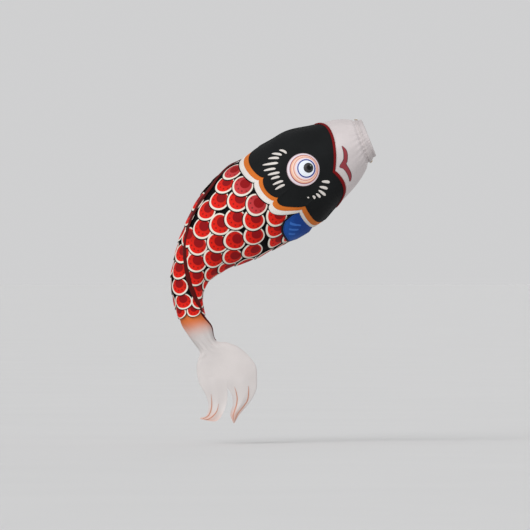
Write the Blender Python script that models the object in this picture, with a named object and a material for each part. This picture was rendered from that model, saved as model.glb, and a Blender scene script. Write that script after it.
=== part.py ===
"""A carp streamer: a windsock sewn in the shape of a carp, 1 m long, that flies from the ring in its mouth.

Metres, +Z up. The origin is the centre of the mouth ring. The mouth faces +X and 22 degrees upwards, and the
body sweeps back and down from it to a forked tail. The carp's right side faces -Y at the head. Its back turns
towards -Y on the way to the tail, so that the tail stem shows its left side there.

The skin is a loft through ribs. A place on it is (station, angle): the station counts ribs from the mouth, and
the angle runs round the body from the back (0) over the right side (90 degrees) to the belly (180 degrees).
"""

import math

import bmesh
import bpy
from mathutils import Matrix, Vector

# Each rib: back point x, z; belly point x, z; half depth along Y; how far the back has turned, in degrees.
RIBS = (
    (-0.0178, 0.0440, 0.0178, -0.0440, 0.0475, 0),
    (-0.070, 0.049, -0.022, -0.113, 0.080, 0),
    (-0.134, 0.036, -0.080, -0.176, 0.101, 0),
    (-0.220, 0.014, -0.135, -0.224, 0.113, 0),
    (-0.298, -0.041, -0.172, -0.248, 0.111, 0),
    (-0.373, -0.086, -0.229, -0.279, 0.109, 8),
    (-0.438, -0.160, -0.297, -0.312, 0.096, 31),
    (-0.485, -0.261, -0.379, -0.345, 0.064, 46),
    (-0.508, -0.369, -0.426, -0.388, 0.042, 87),
    (-0.490, -0.464, -0.427, -0.452, 0.031, 139),
    (-0.469, -0.509, -0.407, -0.490, 0.028, 168),
    (-0.4335, -0.557, -0.391, -0.529, 0.018, 180),
    (-0.443, -0.588, -0.337, -0.541, 0.013, 180),
    (-0.4425, -0.616, -0.2915, -0.588, 0.010, 180),
    (-0.435, -0.642, -0.287, -0.641, 0.009, 180),
)
FACET = 0.24  # stations between the rings of facets along the body
RIB_PITCH = 0.075  # the usual distance between ribs, which turns a width in metres into a part of a station

# Stations of the seams and of the places where the body flexes.
SNOUT_START = 0.10
NECK = 4.85
WAIST = 6.2
HIPS = 7.35
TAIL_ROOT = 8.75
FIN_ROOT = 11.0
FIN_END = 14.0

# The scalloped seam between the snout and the hood: its rearmost station, how far its sides and each of its
# lobes reach forward, and the notch between a side's two lobes, as a share of the way from back to belly.
SNOUT_SEAM = 2.0
SNOUT_SIDES = 0.20
SNOUT_LOBES = 0.29
SNOUT_NOTCH = 0.58

# Notches in the hood's rear edge: degrees from the back, station, and how far the next lobe reaches back.
GILL_NOTCHES = ((0, 3.92, 0.25), (61, 4.16, 0.22), (97, 4.08, 0.45), (124, 3.28, 0.20), (180, 2.85, 0.0))

# What follows an edge, in stations from it: the front and the rear of each strip.
SEAM_ROOM = 0.012
PIPING = (-0.035, 0.035)
ORANGE_TRIM = (-0.02, 0.16)
WHITE_TRIM = (0.17, 0.35)
FIRST_SCALES = 0.36
FIRST_RIBBON = 0.40

# Layers, as distances outside the skin.
CLOTH = 0.0012
LAYER_GAP = 0.0004
TRIM = 0.0010
TRIM_LIFT = 0.0007
SCALE_LIFT = 0.0016
SEAM_GAP = 0.0004

# Rows of scales.
SCALE_FACETS = 3  # to each scallop
SCALLOP_DEPTH = 0.10  # in stations
ROW_GAP = 0.008  # in stations, on each side of the line between two rows

# Sleeves: each section tucks into the one ahead of it, with this much room.
SLEEVE_ROOM = 0.0025
SLEEVE_TURN = math.radians(19)
FIN_TURN = math.radians(30)
SLEEVE_CLEAR = 0.006

# Mouth ring, in its own hem.
RING_RADIUS = 0.0475
WIRE_RADIUS = 0.0015
WIRE_ENDS_GAP = 0.0016
FERRULE_INNER = 0.0018
FERRULE_OUTER = 0.0025
FERRULE_LENGTH = 0.026
HEM_CAVITY = 0.0033
HEM_CLOTH = 0.0009
HEM_GAP = 0.0006
HEM_FOLD = (math.radians(-35), math.radians(215))  # how far the fold goes round the wire
HEM_START = 0.12
HEM_END = 0.36

# Eyelets through the hem, at the top and the bottom of the mouth.
EYELET_STATION = 0.23
EYELET_HOLE = 0.0020
EYELET_BARREL = 0.0026
EYELET_FLANGE = 0.0050
EYELET_METAL = 0.0007
EYELET_LIFT = 0.0008
EYELET_DEPTH = 0.0045
EYELET_FIT = 0.0003

# Eye discs, the lowest first: name, radius, and how far forward and how far towards the back its centre lies.
EYE_FACETS = 18
EYE_RINGS = (0.3, 0.7, 1.0)  # as shares of a disc's radius
EYE_LIFT = 0.0009
EYE_STATION = 2.81
EYE_ANGLE = math.radians(82.3)
EYE_DISCS = (
    ("eye_white", 0.0425, 0.0, 0.0),
    ("eye_iris", 0.0225, 0.0085, 0.0020),
    ("eye_pupil", 0.0125, 0.0140, 0.0035),
)

# Side fins, sewn on behind the gill.
SIDE_FIN_ROOT = 3.50
SIDE_FIN_END = 4.64
SIDE_FIN_ANGLE = math.radians(148)
SIDE_FIN_SPREAD = math.radians(28)
SIDE_FIN_LIFT = 0.0036
SIDE_FIN_RISE = 0.002  # how much further out its free end lies
SIDE_FIN_ROWS = (0.0, 0.3, 0.6, 0.85, 1.0)  # shares of its length
SIDE_FIN_ROOT_SHARE = 0.62  # how wide the root is, as a share of the full width
SIDE_FIN_TIP_TAPER = 0.72
SIDE_FIN_CURVE = 0.10  # how much shorter its sides are than its middle

RIBBON_WIDTH = 0.011
LOBE_THICKNESS = 0.0020
LOBE_TUCK = 0.003
LOBE_GAP = 0.0008
LOBE_INSET = 0.0100
LOBE_ROWS = 8

# Tail lobes: their outer and inner edges, root to tip, as x, z.
FORK = (-0.3637, -0.6455)
BACK_LOBE_OUTER = (
    (-0.287, -0.641), (-0.292, -0.663), (-0.307, -0.688), (-0.3335, -0.720), (-0.3450, -0.7405),
)
BACK_LOBE_INNER = (
    (-0.362, -0.644), (-0.3525, -0.668), (-0.3500, -0.692), (-0.3560, -0.718), (-0.3480, -0.7405),
)
BELLY_LOBE_OUTER = (
    (-0.435, -0.642), (-0.4200, -0.668), (-0.4125, -0.697), (-0.4185, -0.721), (-0.4350, -0.7270),
)
BELLY_LOBE_INNER = (
    (-0.3655, -0.644), (-0.3645, -0.680), (-0.3735, -0.711), (-0.3930, -0.735), (-0.4335, -0.7300),
)

SIDES = (("right", 1), ("left", -1))
ROUND = 32  # facets round the head
HALF = ROUND // 2

COLOURS = {  # name: colour, roughness, metallic
    "white_cloth": ((0.80, 0.77, 0.76), 0.75, 0.0),
    "black_cloth": ((0.012, 0.014, 0.016), 0.80, 0.0),
    "red_cloth": ((0.75, 0.03, 0.015), 0.75, 0.0),
    "maroon_cloth": ((0.20, 0.004, 0.006), 0.75, 0.0),
    "orange_cloth": ((0.83, 0.26, 0.05), 0.75, 0.0),
    "blue_cloth": ((0.02, 0.10, 0.42), 0.75, 0.0),
    "peach_cloth": ((0.80, 0.45, 0.28), 0.75, 0.0),
    "spring_steel": ((0.55, 0.56, 0.58), 0.30, 1.0),
    "brass": ((0.75, 0.55, 0.22), 0.30, 1.0),
}


def clear_scene():
    for obj in list(bpy.data.objects):
        bpy.data.objects.remove(obj)


def material(name):
    """The named material, made at its first use."""
    found = bpy.data.materials.get(name)
    if found:
        return found
    colour, roughness, metallic = COLOURS[name]
    made = bpy.data.materials.new(name)
    made.use_nodes = True
    shader = made.node_tree.nodes["Principled BSDF"]
    shader.inputs["Base Color"].default_value = (*colour, 1.0)
    shader.inputs["Roughness"].default_value = roughness
    shader.inputs["Metallic"].default_value = metallic
    return made


# ---------------------------------------------------------------- the skin


def spline(values, at):
    """A Catmull-Rom curve through evenly numbered values, read at a number between 0 and the last one."""
    last = len(values) - 1
    at = min(max(at, 0.0), float(last))
    first = min(int(at), last - 1)
    t = at - first
    before = values[first - 1] if first else 2 * values[0] - values[1]
    after = values[first + 2] if first + 2 <= last else 2 * values[last] - values[last - 1]
    p1, p2 = values[first], values[first + 1]
    return p1 + 0.5 * t * (
        p2 - before + t * (2 * before - 5 * p1 + 4 * p2 - after + t * (3 * (p1 - p2) + after - before))
    )


class Ring:
    """One cross-section: an ellipse across the body, with the angle at which the back lies on it."""

    def __init__(self, centre, up, half_height, half_depth, turn):
        self.centre, self.up = centre, up
        self.half_height, self.half_depth, self.turn = half_height, half_depth, turn

    def rearward(self):
        """The direction towards the tail, square to the ring."""
        return Vector((self.up.z, 0.0, -self.up.x)) * -1.0

    def point(self, angle, offset=0.0):
        """The point at an angle from the back, that far outside the ring."""
        real = angle + self.turn
        up = self.up * ((self.half_height + offset) * math.cos(real))
        return self.centre + up + Vector((0.0, -(self.half_depth + offset) * math.sin(real), 0.0))


def rib_ring(station):
    back_x, back_z, belly_x, belly_z, depth, turn = (
        spline([rib[column] for rib in RIBS], station) for column in range(6)
    )
    back, belly = Vector((back_x, 0.0, back_z)), Vector((belly_x, 0.0, belly_z))
    half = (back - belly) / 2
    return Ring((back + belly) / 2, half.normalized(), half.length, depth, math.radians(turn))


def skin(station, angle, offset=0.0):
    return rib_ring(station).point(angle, offset)


def skin_frame(station, angle, offset=0.0):
    """The place, the way along the body, the way round it, and the way out of it, on the skin."""
    step = 0.02
    along = skin(station + step, angle) - skin(station - step, angle)
    around = skin(station, angle + step) - skin(station, angle - step)
    outward = around.cross(along).normalized()
    if outward.dot(skin(station, angle) - rib_ring(station).centre) < 0:
        outward.negate()
    place = skin(station, angle) + outward * offset
    return place, along.normalized(), around.normalized(), outward


def stations_per_metre(station, angle):
    step = 0.02
    return 2 * step / (skin(station + step, angle) - skin(station - step, angle)).length


def radians_per_metre(station, angle):
    step = 0.02
    return 2 * step / (skin(station, angle + step) - skin(station, angle - step)).length


def scallop(angle, count):
    """0 at the notches and 1 at the tops of this many scallops round the body, with a notch at the back."""
    return abs(math.sin(count * angle / 2)) ** 0.8


def snout_edge(angle):
    """The station of the seam between snout and hood: a large scallop over a smaller one on each side."""
    side = abs(math.remainder(angle, 2 * math.pi)) / math.pi
    bow = math.sin(math.pi * side) ** 0.7
    if side < SNOUT_NOTCH:
        share = side / SNOUT_NOTCH
    else:
        share = (side - SNOUT_NOTCH) / (1 - SNOUT_NOTCH)
    return SNOUT_SEAM - SNOUT_SIDES * bow - SNOUT_LOBES * abs(math.sin(math.pi * share)) ** 0.8


def gill_edge(angle):
    """The station of the rear edge of the hood: lobes between notches, which slant forward to the belly."""
    side = abs(math.degrees(math.remainder(angle, 2 * math.pi)))
    for (start, from_station, lobe), (end, to_station, _) in zip(GILL_NOTCHES, GILL_NOTCHES[1:]):
        if side <= end:
            share = (side - start) / (end - start)
            bow = lobe * math.sin(math.pi * share) ** 0.8
            return from_station + (to_station - from_station) * share + bow
    return GILL_NOTCHES[-1][1]


# ---------------------------------------------------------------- solids


class Body:
    """A rigid body: the empty that its pieces are parented to, at the pivot of its joint."""

    def __init__(self, name, pivot):
        self.pivot = Vector(pivot)
        self.empty = bpy.data.objects.new("pivot_" + name, None)
        self.empty.location = self.pivot
        bpy.context.scene.collection.objects.link(self.empty)

    def add(self, name, made, cloth, smooth=math.radians(40)):
        """Turns a bmesh in world coordinates into a named object of this body."""
        bmesh.ops.recalc_face_normals(made, faces=made.faces)
        mesh = bpy.data.meshes.new(name)
        made.to_mesh(mesh)
        made.free()
        mesh.transform(Matrix.Translation(-self.pivot))
        mesh.shade_smooth()
        mesh.set_sharp_from_angle(angle=smooth)
        mesh.materials.append(material(cloth))
        obj = bpy.data.objects.new(name, mesh)
        obj.parent = self.empty
        bpy.context.scene.collection.objects.link(obj)
        return obj


def slab(outer, inner, joined=False, filled=False):
    """A closed bmesh between two equal grids of points. With joined, each row's end meets its start. With filled
    too, each grid's first row is a hole that one face closes."""
    made = bmesh.new()
    rows, columns = len(outer), len(outer[0])
    top = [[made.verts.new(p) for p in row] for row in outer]
    bottom = [[made.verts.new(p) for p in row] for row in inner]
    spans = columns if joined else columns - 1
    for j in range(spans):
        k = (j + 1) % columns
        for i in range(rows - 1):
            made.faces.new((top[i][j], top[i][k], top[i + 1][k], top[i + 1][j]))
            made.faces.new((bottom[i][j], bottom[i + 1][j], bottom[i + 1][k], bottom[i][k]))
        if not filled:
            made.faces.new((top[0][j], bottom[0][j], bottom[0][k], top[0][k]))
        made.faces.new((top[-1][j], top[-1][k], bottom[-1][k], bottom[-1][j]))
    if filled:
        made.faces.new(top[0])
        made.faces.new(bottom[0])
    if not joined:
        for i in range(rows - 1):
            made.faces.new((top[i][0], top[i + 1][0], bottom[i + 1][0], bottom[i][0]))
            made.faces.new((top[i][-1], bottom[i][-1], bottom[i + 1][-1], top[i + 1][-1]))
    return made


def loop_solid(loops, closed=True):
    """A closed bmesh through loops of points. Closed joins the last loop to the first; open caps both ends."""
    made = bmesh.new()
    rings = [[made.verts.new(p) for p in loop] for loop in loops]
    count = len(rings[0])
    pairs = zip(rings, rings[1:] + rings[:1]) if closed else zip(rings, rings[1:])
    for first, second in pairs:
        for j in range(count):
            k = (j + 1) % count
            made.faces.new((first[j], first[k], second[k], second[j]))
    if not closed:
        made.faces.new(rings[0])
        made.faces.new(rings[-1])
    return made


def whole_turn(facets=ROUND):
    return [2 * math.pi * i / facets for i in range(facets)]


def between(low, high, steps):
    return [low + (high - low) * i / steps for i in range(steps + 1)]


def side_angles(ring, side, facets=HALF):
    """Angles over one side of the body, from the back seam to the belly seam: side 1 is right, and -1 left."""
    seam = SEAM_GAP / 2 / min(ring.half_height, ring.half_depth)
    return [side * angle for angle in between(seam, math.pi - seam, facets)]


def cloth_half(rings, side, facets):
    """One side's panel through a list of rings."""
    outer = [[ring.point(a) for a in side_angles(ring, side, facets)] for ring in rings]
    inner = [[ring.point(a, -CLOTH) for a in side_angles(ring, side, facets)] for ring in rings]
    return slab(outer, inner)


def at(station):
    """An edge straight round the body."""
    return lambda angle: station


def beside(edge, distance):
    """An edge that follows another one, so many stations behind it."""
    return lambda angle: edge(angle) + distance


def band(front, rear, low, high, angles, steps=1, joined=False):
    """Cloth between two edges, from low to high outside the skin. An edge gives the station for an angle."""
    layers = []
    for offset in (high, low):
        layers.append(
            [
                [skin(front(a) + (rear(a) - front(a)) * i / steps, a, offset) for a in angles]
                for i in range(steps + 1)
            ]
        )
    return slab(layers[0], layers[1], joined)


# ---------------------------------------------------------------- mouth


def mouth_frame():
    """The ring's two directions across the mouth, and the way out of it."""
    ring = rib_ring(0)
    return ring.up, Vector((0.0, -1.0, 0.0)), -ring.rearward()


def ring_section(angle, radius, facets):
    """A small circle round the wire of the mouth ring, at an angle round the mouth."""
    up, side, forward = mouth_frame()
    out = up * math.cos(angle) + side * math.sin(angle)
    centre = out * RING_RADIUS
    return [
        centre + out * (radius * math.cos(t)) + forward * (radius * math.sin(t))
        for t in whole_turn(facets)
    ]


def mouth_ring(body):
    """Spring-steel wire bent to a ring, whose two ends meet inside a ferrule at the belly side."""
    half_gap = WIRE_ENDS_GAP / 2 / RING_RADIUS
    arc = between(math.pi + half_gap, 3 * math.pi - half_gap, 36)
    wire = loop_solid([ring_section(a, WIRE_RADIUS, 6) for a in arc], closed=False)
    body.add("mouth_ring", wire, "spring_steel")
    half = FERRULE_LENGTH / 2 / RING_RADIUS
    arc = between(math.pi - half, math.pi + half, 3)
    outside = [ring_section(a, FERRULE_OUTER, 8) for a in arc]
    inside = [ring_section(a, FERRULE_INNER, 8) for a in arc]
    body.add("ring_ferrule", slab(outside, inside, joined=True), "brass")


def hem_profile(angle):
    """The folded hem's section: along the snout, round the ring, back along the snout's inside, and its inner
    face."""
    up, side, forward = mouth_frame()
    out = up * math.cos(angle) + side * math.sin(angle)
    centre = out * RING_RADIUS

    def fold(radius, turns):
        return [centre + out * (radius * math.cos(t)) + forward * (radius * math.sin(t)) for t in turns]

    front = between(*HEM_FOLD, 5)
    leg = (HEM_END, HEM_START)
    outer_high = [skin(s, angle, HEM_GAP + HEM_CLOTH) for s in leg]
    outer_low = [skin(s, angle, HEM_GAP) for s in reversed(leg)]
    inner_high = [skin(s, angle, -CLOTH - HEM_GAP) for s in leg]
    inner_low = [skin(s, angle, -CLOTH - HEM_GAP - HEM_CLOTH) for s in reversed(leg)]
    return (
        outer_high
        + fold(HEM_CAVITY + HEM_CLOTH, front)
        + inner_low
        + inner_high
        + fold(HEM_CAVITY, reversed(front))
        + outer_low
    )


def eyelet_frames():
    """For each eyelet, its name and the matrix that puts +Z along its barrel, out of the mouth's hem."""
    for name, angle in (("top", 0.0), ("bottom", math.pi)):
        place, along, around, outward = skin_frame(EYELET_STATION, angle)
        turn = Matrix((around, outward.cross(around), outward)).transposed().to_4x4()
        yield name, Matrix.Translation(place) @ turn


def turned(profile, frame, facets=12):
    """A ring turned about +Z from a closed profile of (radius, height) points, put into a frame."""
    loops = []
    for angle in whole_turn(facets):
        loops.append([frame @ Vector((r * math.cos(angle), r * math.sin(angle), z)) for r, z in profile])
    return loop_solid(loops)


def cut_hole(obj, cutter):
    hole = obj.modifiers.new("eyelet_hole", "BOOLEAN")
    hole.operation = "DIFFERENCE"
    hole.object = cutter


def eyelets(body, pierced):
    """Brass eyelets and the washers that they are set into, through the hem and the snout."""
    flange_low = HEM_GAP + HEM_CLOTH + EYELET_LIFT
    washer_high = -CLOTH - HEM_GAP - HEM_CLOTH - EYELET_LIFT
    for name, frame in eyelet_frames():
        eyelet = (
            (EYELET_HOLE, -EYELET_DEPTH),
            (EYELET_BARREL, -EYELET_DEPTH),
            (EYELET_BARREL, flange_low),
            (EYELET_FLANGE, flange_low),
            (EYELET_FLANGE, flange_low + EYELET_METAL),
            (EYELET_HOLE, flange_low + EYELET_METAL),
        )
        body.add("eyelet_" + name, turned(eyelet, frame), "brass")
        washer = (
            (EYELET_BARREL + EYELET_FIT, washer_high - EYELET_METAL),
            (EYELET_FLANGE, washer_high - EYELET_METAL),
            (EYELET_FLANGE, washer_high),
            (EYELET_BARREL + EYELET_FIT, washer_high),
        )
        body.add("eyelet_washer_" + name, turned(washer, frame), "brass")
        radius = EYELET_BARREL + EYELET_FIT
        reach = 2 * EYELET_DEPTH
        ends = [
            [frame @ Vector((radius * math.cos(a), radius * math.sin(a), z)) for a in whole_turn(12)]
            for z in (-reach, reach)
        ]
        cutter = body.add("cutter_" + name, loop_solid(ends, closed=False), "brass")
        cutter.hide_render = True
        cutter.display_type = "WIRE"
        for obj in pierced:
            cut_hole(obj, cutter)


def mouth(body):
    mouth_ring(body)
    hem = loop_solid([hem_profile(a) for a in whole_turn(24)])
    hem = body.add("mouth_hem", hem, "white_cloth")
    snout = band(at(SNOUT_START), beside(snout_edge, -SEAM_ROOM), -CLOTH, 0.0, whole_turn(), 4, joined=True)
    snout = body.add("snout_panel", snout, "white_cloth")
    eyelets(body, (hem, snout))


# ---------------------------------------------------------------- head


def strip(edge, ends, low, high, angles, joined=False):
    """A narrow piece of cloth that follows an edge, between two distances from it in stations."""
    front, rear = ends
    return band(beside(edge, front), beside(edge, rear), low, high, angles, joined=joined)


def head(body):
    """The hood, its piping and gill trim, the neck cloth and the eyes."""
    piping = strip(snout_edge, PIPING, LAYER_GAP, LAYER_GAP + 2 * TRIM, whole_turn(36), joined=True)
    body.add("snout_piping", piping, "maroon_cloth")
    for word, side in SIDES:
        angles = side_angles(rib_ring(3), side)
        hood = band(beside(snout_edge, SEAM_ROOM), beside(gill_edge, -SEAM_ROOM), -CLOTH, 0.0, angles, 4)
        body.add("hood_" + word, hood, "black_cloth")
        neck = band(beside(gill_edge, SEAM_ROOM), at(NECK), -CLOTH, 0.0, angles, 4)
        body.add("neck_cloth_" + word, neck, "black_cloth")
        for colour, ends in (("orange", ORANGE_TRIM), ("white", WHITE_TRIM)):
            trim = strip(gill_edge, ends, TRIM_LIFT, TRIM_LIFT + TRIM, angles)
            body.add(f"gill_trim_{colour}_{word}", trim, colour + "_cloth")
        eye(body, word, side)


def eye(body, word, side):
    """Three cloth discs, each sewn onto the one below it, nearer the mouth."""
    cloths = ("white_cloth", "white_cloth", "black_cloth")
    per_metre = stations_per_metre(EYE_STATION, EYE_ANGLE)
    angle_per_metre = radians_per_metre(EYE_STATION, EYE_ANGLE)
    for level, (name, radius, forward, up) in enumerate(EYE_DISCS):
        low = EYE_LIFT + level * (TRIM + LAYER_GAP)
        layers = []
        for offset in (low + TRIM, low):
            rows = []
            for share in EYE_RINGS:
                rows.append(
                    [
                        skin(
                            EYE_STATION - (forward - radius * share * math.cos(t)) * per_metre,
                            side * (EYE_ANGLE - (up - radius * share * math.sin(t)) * angle_per_metre),
                            offset,
                        )
                        for t in whole_turn(EYE_FACETS)
                    ]
                )
            layers.append(rows)
        disc = slab(layers[0], layers[1], joined=True, filled=True)
        body.add(f"{name}_{word}", disc, cloths[level])


# ---------------------------------------------------------------- body


def sleeve(station, nods, turn):
    """The rings of a section's front end, which tucks into the section ahead, and how far it reaches: a zone of
    an ellipsoid about the joint, so that the room round it stays the same as it turns. A joint that nods turns
    about Y, and one that wags turns about the line from belly to back."""
    joint = rib_ring(station)
    height = joint.half_height - CLOTH - SLEEVE_ROOM
    depth = joint.half_depth - CLOTH - SLEEVE_ROOM
    reach = height if nods else depth
    rings = []
    for tilt in between(-turn, turn, 3):
        shift = reach * math.sin(tilt)
        twist = rib_ring(station + shift / RIB_PITCH).turn
        centre = joint.centre + joint.rearward() * shift
        rings.append(Ring(centre, joint.up, height * math.cos(tilt), depth * math.cos(tilt), twist))
    return rings, reach * math.sin(turn)


def clear_of_sleeve(station, reach):
    """The first station whose ring lies wholly behind the sleeve."""
    joint = rib_ring(station)
    behind = station
    while True:
        behind += 0.02
        ring = rib_ring(behind)
        ends = (ring.point(-ring.turn), ring.point(math.pi - ring.turn))
        if min((end - joint.centre).dot(joint.rearward()) for end in ends) > reach + SLEEVE_CLEAR:
            return behind


def section(body, name, start, end, nods, cloth, facets, turn=SLEEVE_TURN):
    """A tube of cloth in a left and a right half, sewn along the back and the belly. Returns the station where
    its plain part starts."""
    rings, reach = sleeve(start, nods, turn)
    plain = clear_of_sleeve(start, reach)
    rings += [rib_ring(s) for s in between(plain, end, math.ceil((end - plain) / FACET))]
    for word, side in SIDES:
        body.add(f"{name}_{word}", cloth_half(rings, side, facets), cloth)
    return plain


def ribbon(body, name, start, end):
    """The stripe sewn over the back seam."""
    low = SCALE_LIFT + TRIM + LAYER_GAP
    steps = math.ceil((end - start) / FACET)
    rows = []
    for offset in (low + TRIM, low):
        layer = []
        for s in between(start, end, steps):
            half = RIBBON_WIDTH / 2 * radians_per_metre(s, 0.0)
            layer.append([skin(s, a, offset) for a in between(-half, half, 2)])
        rows.append(layer)
    body.add(name, slab(rows[0], rows[1]), "maroon_cloth")


def scale_rows(body, first, front, end, count, scales):
    """Rings of scales: each reaches from one scalloped line to the next, and two rows' scallops alternate."""
    pitch = (end - front) / count

    def line(number):
        depth = SCALLOP_DEPTH if 0 < number < count else 0.0

        def edge(angle):
            shifted = angle + math.pi / scales * (number % 2)
            return front + pitch * number - depth * (1 - scallop(shifted, scales))

        return edge

    for number in range(count):
        edges = line(number), line(number + 1)
        made = band(
            beside(edges[0], ROW_GAP),
            beside(edges[1], -ROW_GAP),
            SCALE_LIFT,
            SCALE_LIFT + TRIM,
            whole_turn(scales * SCALE_FACETS),
            steps=2,
            joined=True,
        )
        body.add(f"scale_row_{first + number}", made, "red_cloth")


def neck_scales(body):
    """The first row of scales, between the gill trim and the neck."""
    front = beside(gill_edge, FIRST_SCALES)
    made = band(front, at(NECK), SCALE_LIFT, SCALE_LIFT + TRIM, whole_turn(), steps=3, joined=True)
    body.add("scale_row_1", made, "red_cloth")


# ---------------------------------------------------------------- fins


def side_fin(body, word, side):
    """A rounded flap behind the gill, free at its rear, that lies over the scales."""
    length = SIDE_FIN_END - SIDE_FIN_ROOT
    layers = []
    for offset in (SIDE_FIN_LIFT + TRIM, SIDE_FIN_LIFT):
        rows = []
        for share in SIDE_FIN_ROWS:
            opening = SIDE_FIN_ROOT_SHARE + (1 - SIDE_FIN_ROOT_SHARE) * math.sin(math.pi * min(share, 0.5))
            spread = SIDE_FIN_SPREAD * opening * (1 - SIDE_FIN_TIP_TAPER * share**4)
            rows.append(
                [
                    skin(
                        SIDE_FIN_ROOT + length * (share - SIDE_FIN_CURVE * share * across * across),
                        side * (SIDE_FIN_ANGLE + spread * across),
                        offset + SIDE_FIN_RISE * share,
                    )
                    for across in between(-1.0, 1.0, 6)
                ]
            )
        layers.append(rows)
    body.add("side_fin_" + word, slab(layers[0], layers[1]), "blue_cloth")


def side_fin_pivot(side):
    return skin(SIDE_FIN_ROOT, side * SIDE_FIN_ANGLE, SIDE_FIN_LIFT + TRIM / 2)


def lobe(body, name, outer, inner):
    """A flat, pointed lobe of the tail, whose root is tucked between the two layers of the tail fin."""
    rows = []
    root_drop = Vector((0.0, 0.0, LOBE_TUCK))
    for i in range(-1, LOBE_ROWS + 1):
        knot = max(i, 0) / LOBE_ROWS * (len(outer) - 1)
        edges = []
        for edge in (outer, inner):
            x, z = (spline([p[axis] for p in edge], knot) for axis in range(2))
            edges.append(Vector((x, 0.0, z)) + (root_drop if i < 0 else Vector()))
        if i < 1:
            inward = (edges[1] - edges[0]).normalized()
            edges = edges[0] + inward * LOBE_INSET, edges[1] - inward * LOBE_GAP
        rows.append([edges[0].lerp(edges[1], share) for share in (0.0, 0.5, 1.0)])
    half = Vector((0.0, LOBE_THICKNESS / 2, 0.0))
    made = slab([[p - half for p in row] for row in rows], [[p + half for p in row] for row in rows])
    body.add(name, made, "white_cloth")


# ---------------------------------------------------------------- the whole carp


def build():
    clear_scene()
    root = Body("head", (0.0, 0.0, 0.0))
    mouth(root)
    head(root)
    neck_scales(root)
    ribbon(root, "back_ribbon_1", GILL_NOTCHES[0][1] + FIRST_RIBBON, NECK)

    front = Body("front", rib_ring(NECK).centre)
    plain = section(front, "front_cloth", NECK, WAIST, False, "black_cloth", facets=14)
    scale_rows(front, 2, plain, WAIST, 3, 12)
    ribbon(front, "back_ribbon_2", plain, WAIST)

    middle = Body("middle", rib_ring(WAIST).centre)
    plain = section(middle, "middle_cloth", WAIST, HIPS, True, "black_cloth", facets=12)
    scale_rows(middle, 5, plain, HIPS, 2, 10)
    ribbon(middle, "back_ribbon_3", plain, HIPS)

    rear = Body("rear", rib_ring(HIPS).centre)
    plain = section(rear, "rear_cloth", HIPS, TAIL_ROOT, False, "black_cloth", facets=10)
    scale_rows(rear, 7, plain, TAIL_ROOT, 3, 8)
    ribbon(rear, "back_ribbon_4", plain, TAIL_ROOT)

    stem = Body("stem", rib_ring(TAIL_ROOT).centre)
    plain = section(stem, "tail_stem", TAIL_ROOT, FIN_ROOT, True, "peach_cloth", facets=8)
    ribbon(stem, "back_ribbon_5", plain, FIN_ROOT)

    fin = Body("fin", rib_ring(FIN_ROOT).centre)
    section(fin, "tail_fin", FIN_ROOT, FIN_END, False, "white_cloth", facets=10, turn=FIN_TURN)

    fork = Vector((FORK[0], 0.0, rib_ring(FIN_END).centre.z))
    lobe(Body("back_lobe", fork), "tail_lobe_back", BACK_LOBE_OUTER, BACK_LOBE_INNER)
    lobe(Body("belly_lobe", fork), "tail_lobe_belly", BELLY_LOBE_OUTER, BELLY_LOBE_INNER)
    for word, side in SIDES:
        side_fin(Body("side_fin_" + word, side_fin_pivot(side)), word, side)


build()
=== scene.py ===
"""Looks for the carp streamer: a windsock of sewn cloth shaped like a carp, held by the ring in its mouth.

Metres, in the frame of the CAD. The skin is the CAD's loft through ribs. A place on it is (station, angle):
the station counts ribs from the mouth, and the angle runs round the body from the back (0) over the carp's
right side to the belly (180 degrees). Every layer of cloth lies some distance outside that skin.
"""

import functools
import math

import bmesh
import bpy
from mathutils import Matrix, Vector, noise


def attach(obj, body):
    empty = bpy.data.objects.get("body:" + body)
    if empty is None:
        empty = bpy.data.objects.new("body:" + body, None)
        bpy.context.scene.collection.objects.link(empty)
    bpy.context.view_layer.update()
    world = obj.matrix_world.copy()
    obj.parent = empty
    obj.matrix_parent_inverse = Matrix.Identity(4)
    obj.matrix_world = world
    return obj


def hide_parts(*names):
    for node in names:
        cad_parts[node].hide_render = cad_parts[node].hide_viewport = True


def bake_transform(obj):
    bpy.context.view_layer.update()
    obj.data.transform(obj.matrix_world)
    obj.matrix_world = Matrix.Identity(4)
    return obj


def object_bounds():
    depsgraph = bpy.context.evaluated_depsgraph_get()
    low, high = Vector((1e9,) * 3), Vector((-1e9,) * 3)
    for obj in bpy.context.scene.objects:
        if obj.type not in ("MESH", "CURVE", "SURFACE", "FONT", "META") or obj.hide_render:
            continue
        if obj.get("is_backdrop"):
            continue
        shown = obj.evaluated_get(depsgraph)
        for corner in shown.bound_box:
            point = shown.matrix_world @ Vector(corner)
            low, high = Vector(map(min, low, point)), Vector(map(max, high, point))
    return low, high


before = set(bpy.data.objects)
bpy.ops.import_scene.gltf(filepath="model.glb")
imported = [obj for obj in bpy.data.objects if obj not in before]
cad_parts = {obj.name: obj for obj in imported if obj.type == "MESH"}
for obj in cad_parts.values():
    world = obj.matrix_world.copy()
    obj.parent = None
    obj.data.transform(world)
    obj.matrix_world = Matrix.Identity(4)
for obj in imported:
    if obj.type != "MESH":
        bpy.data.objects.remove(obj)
cad_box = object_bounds()

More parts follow.
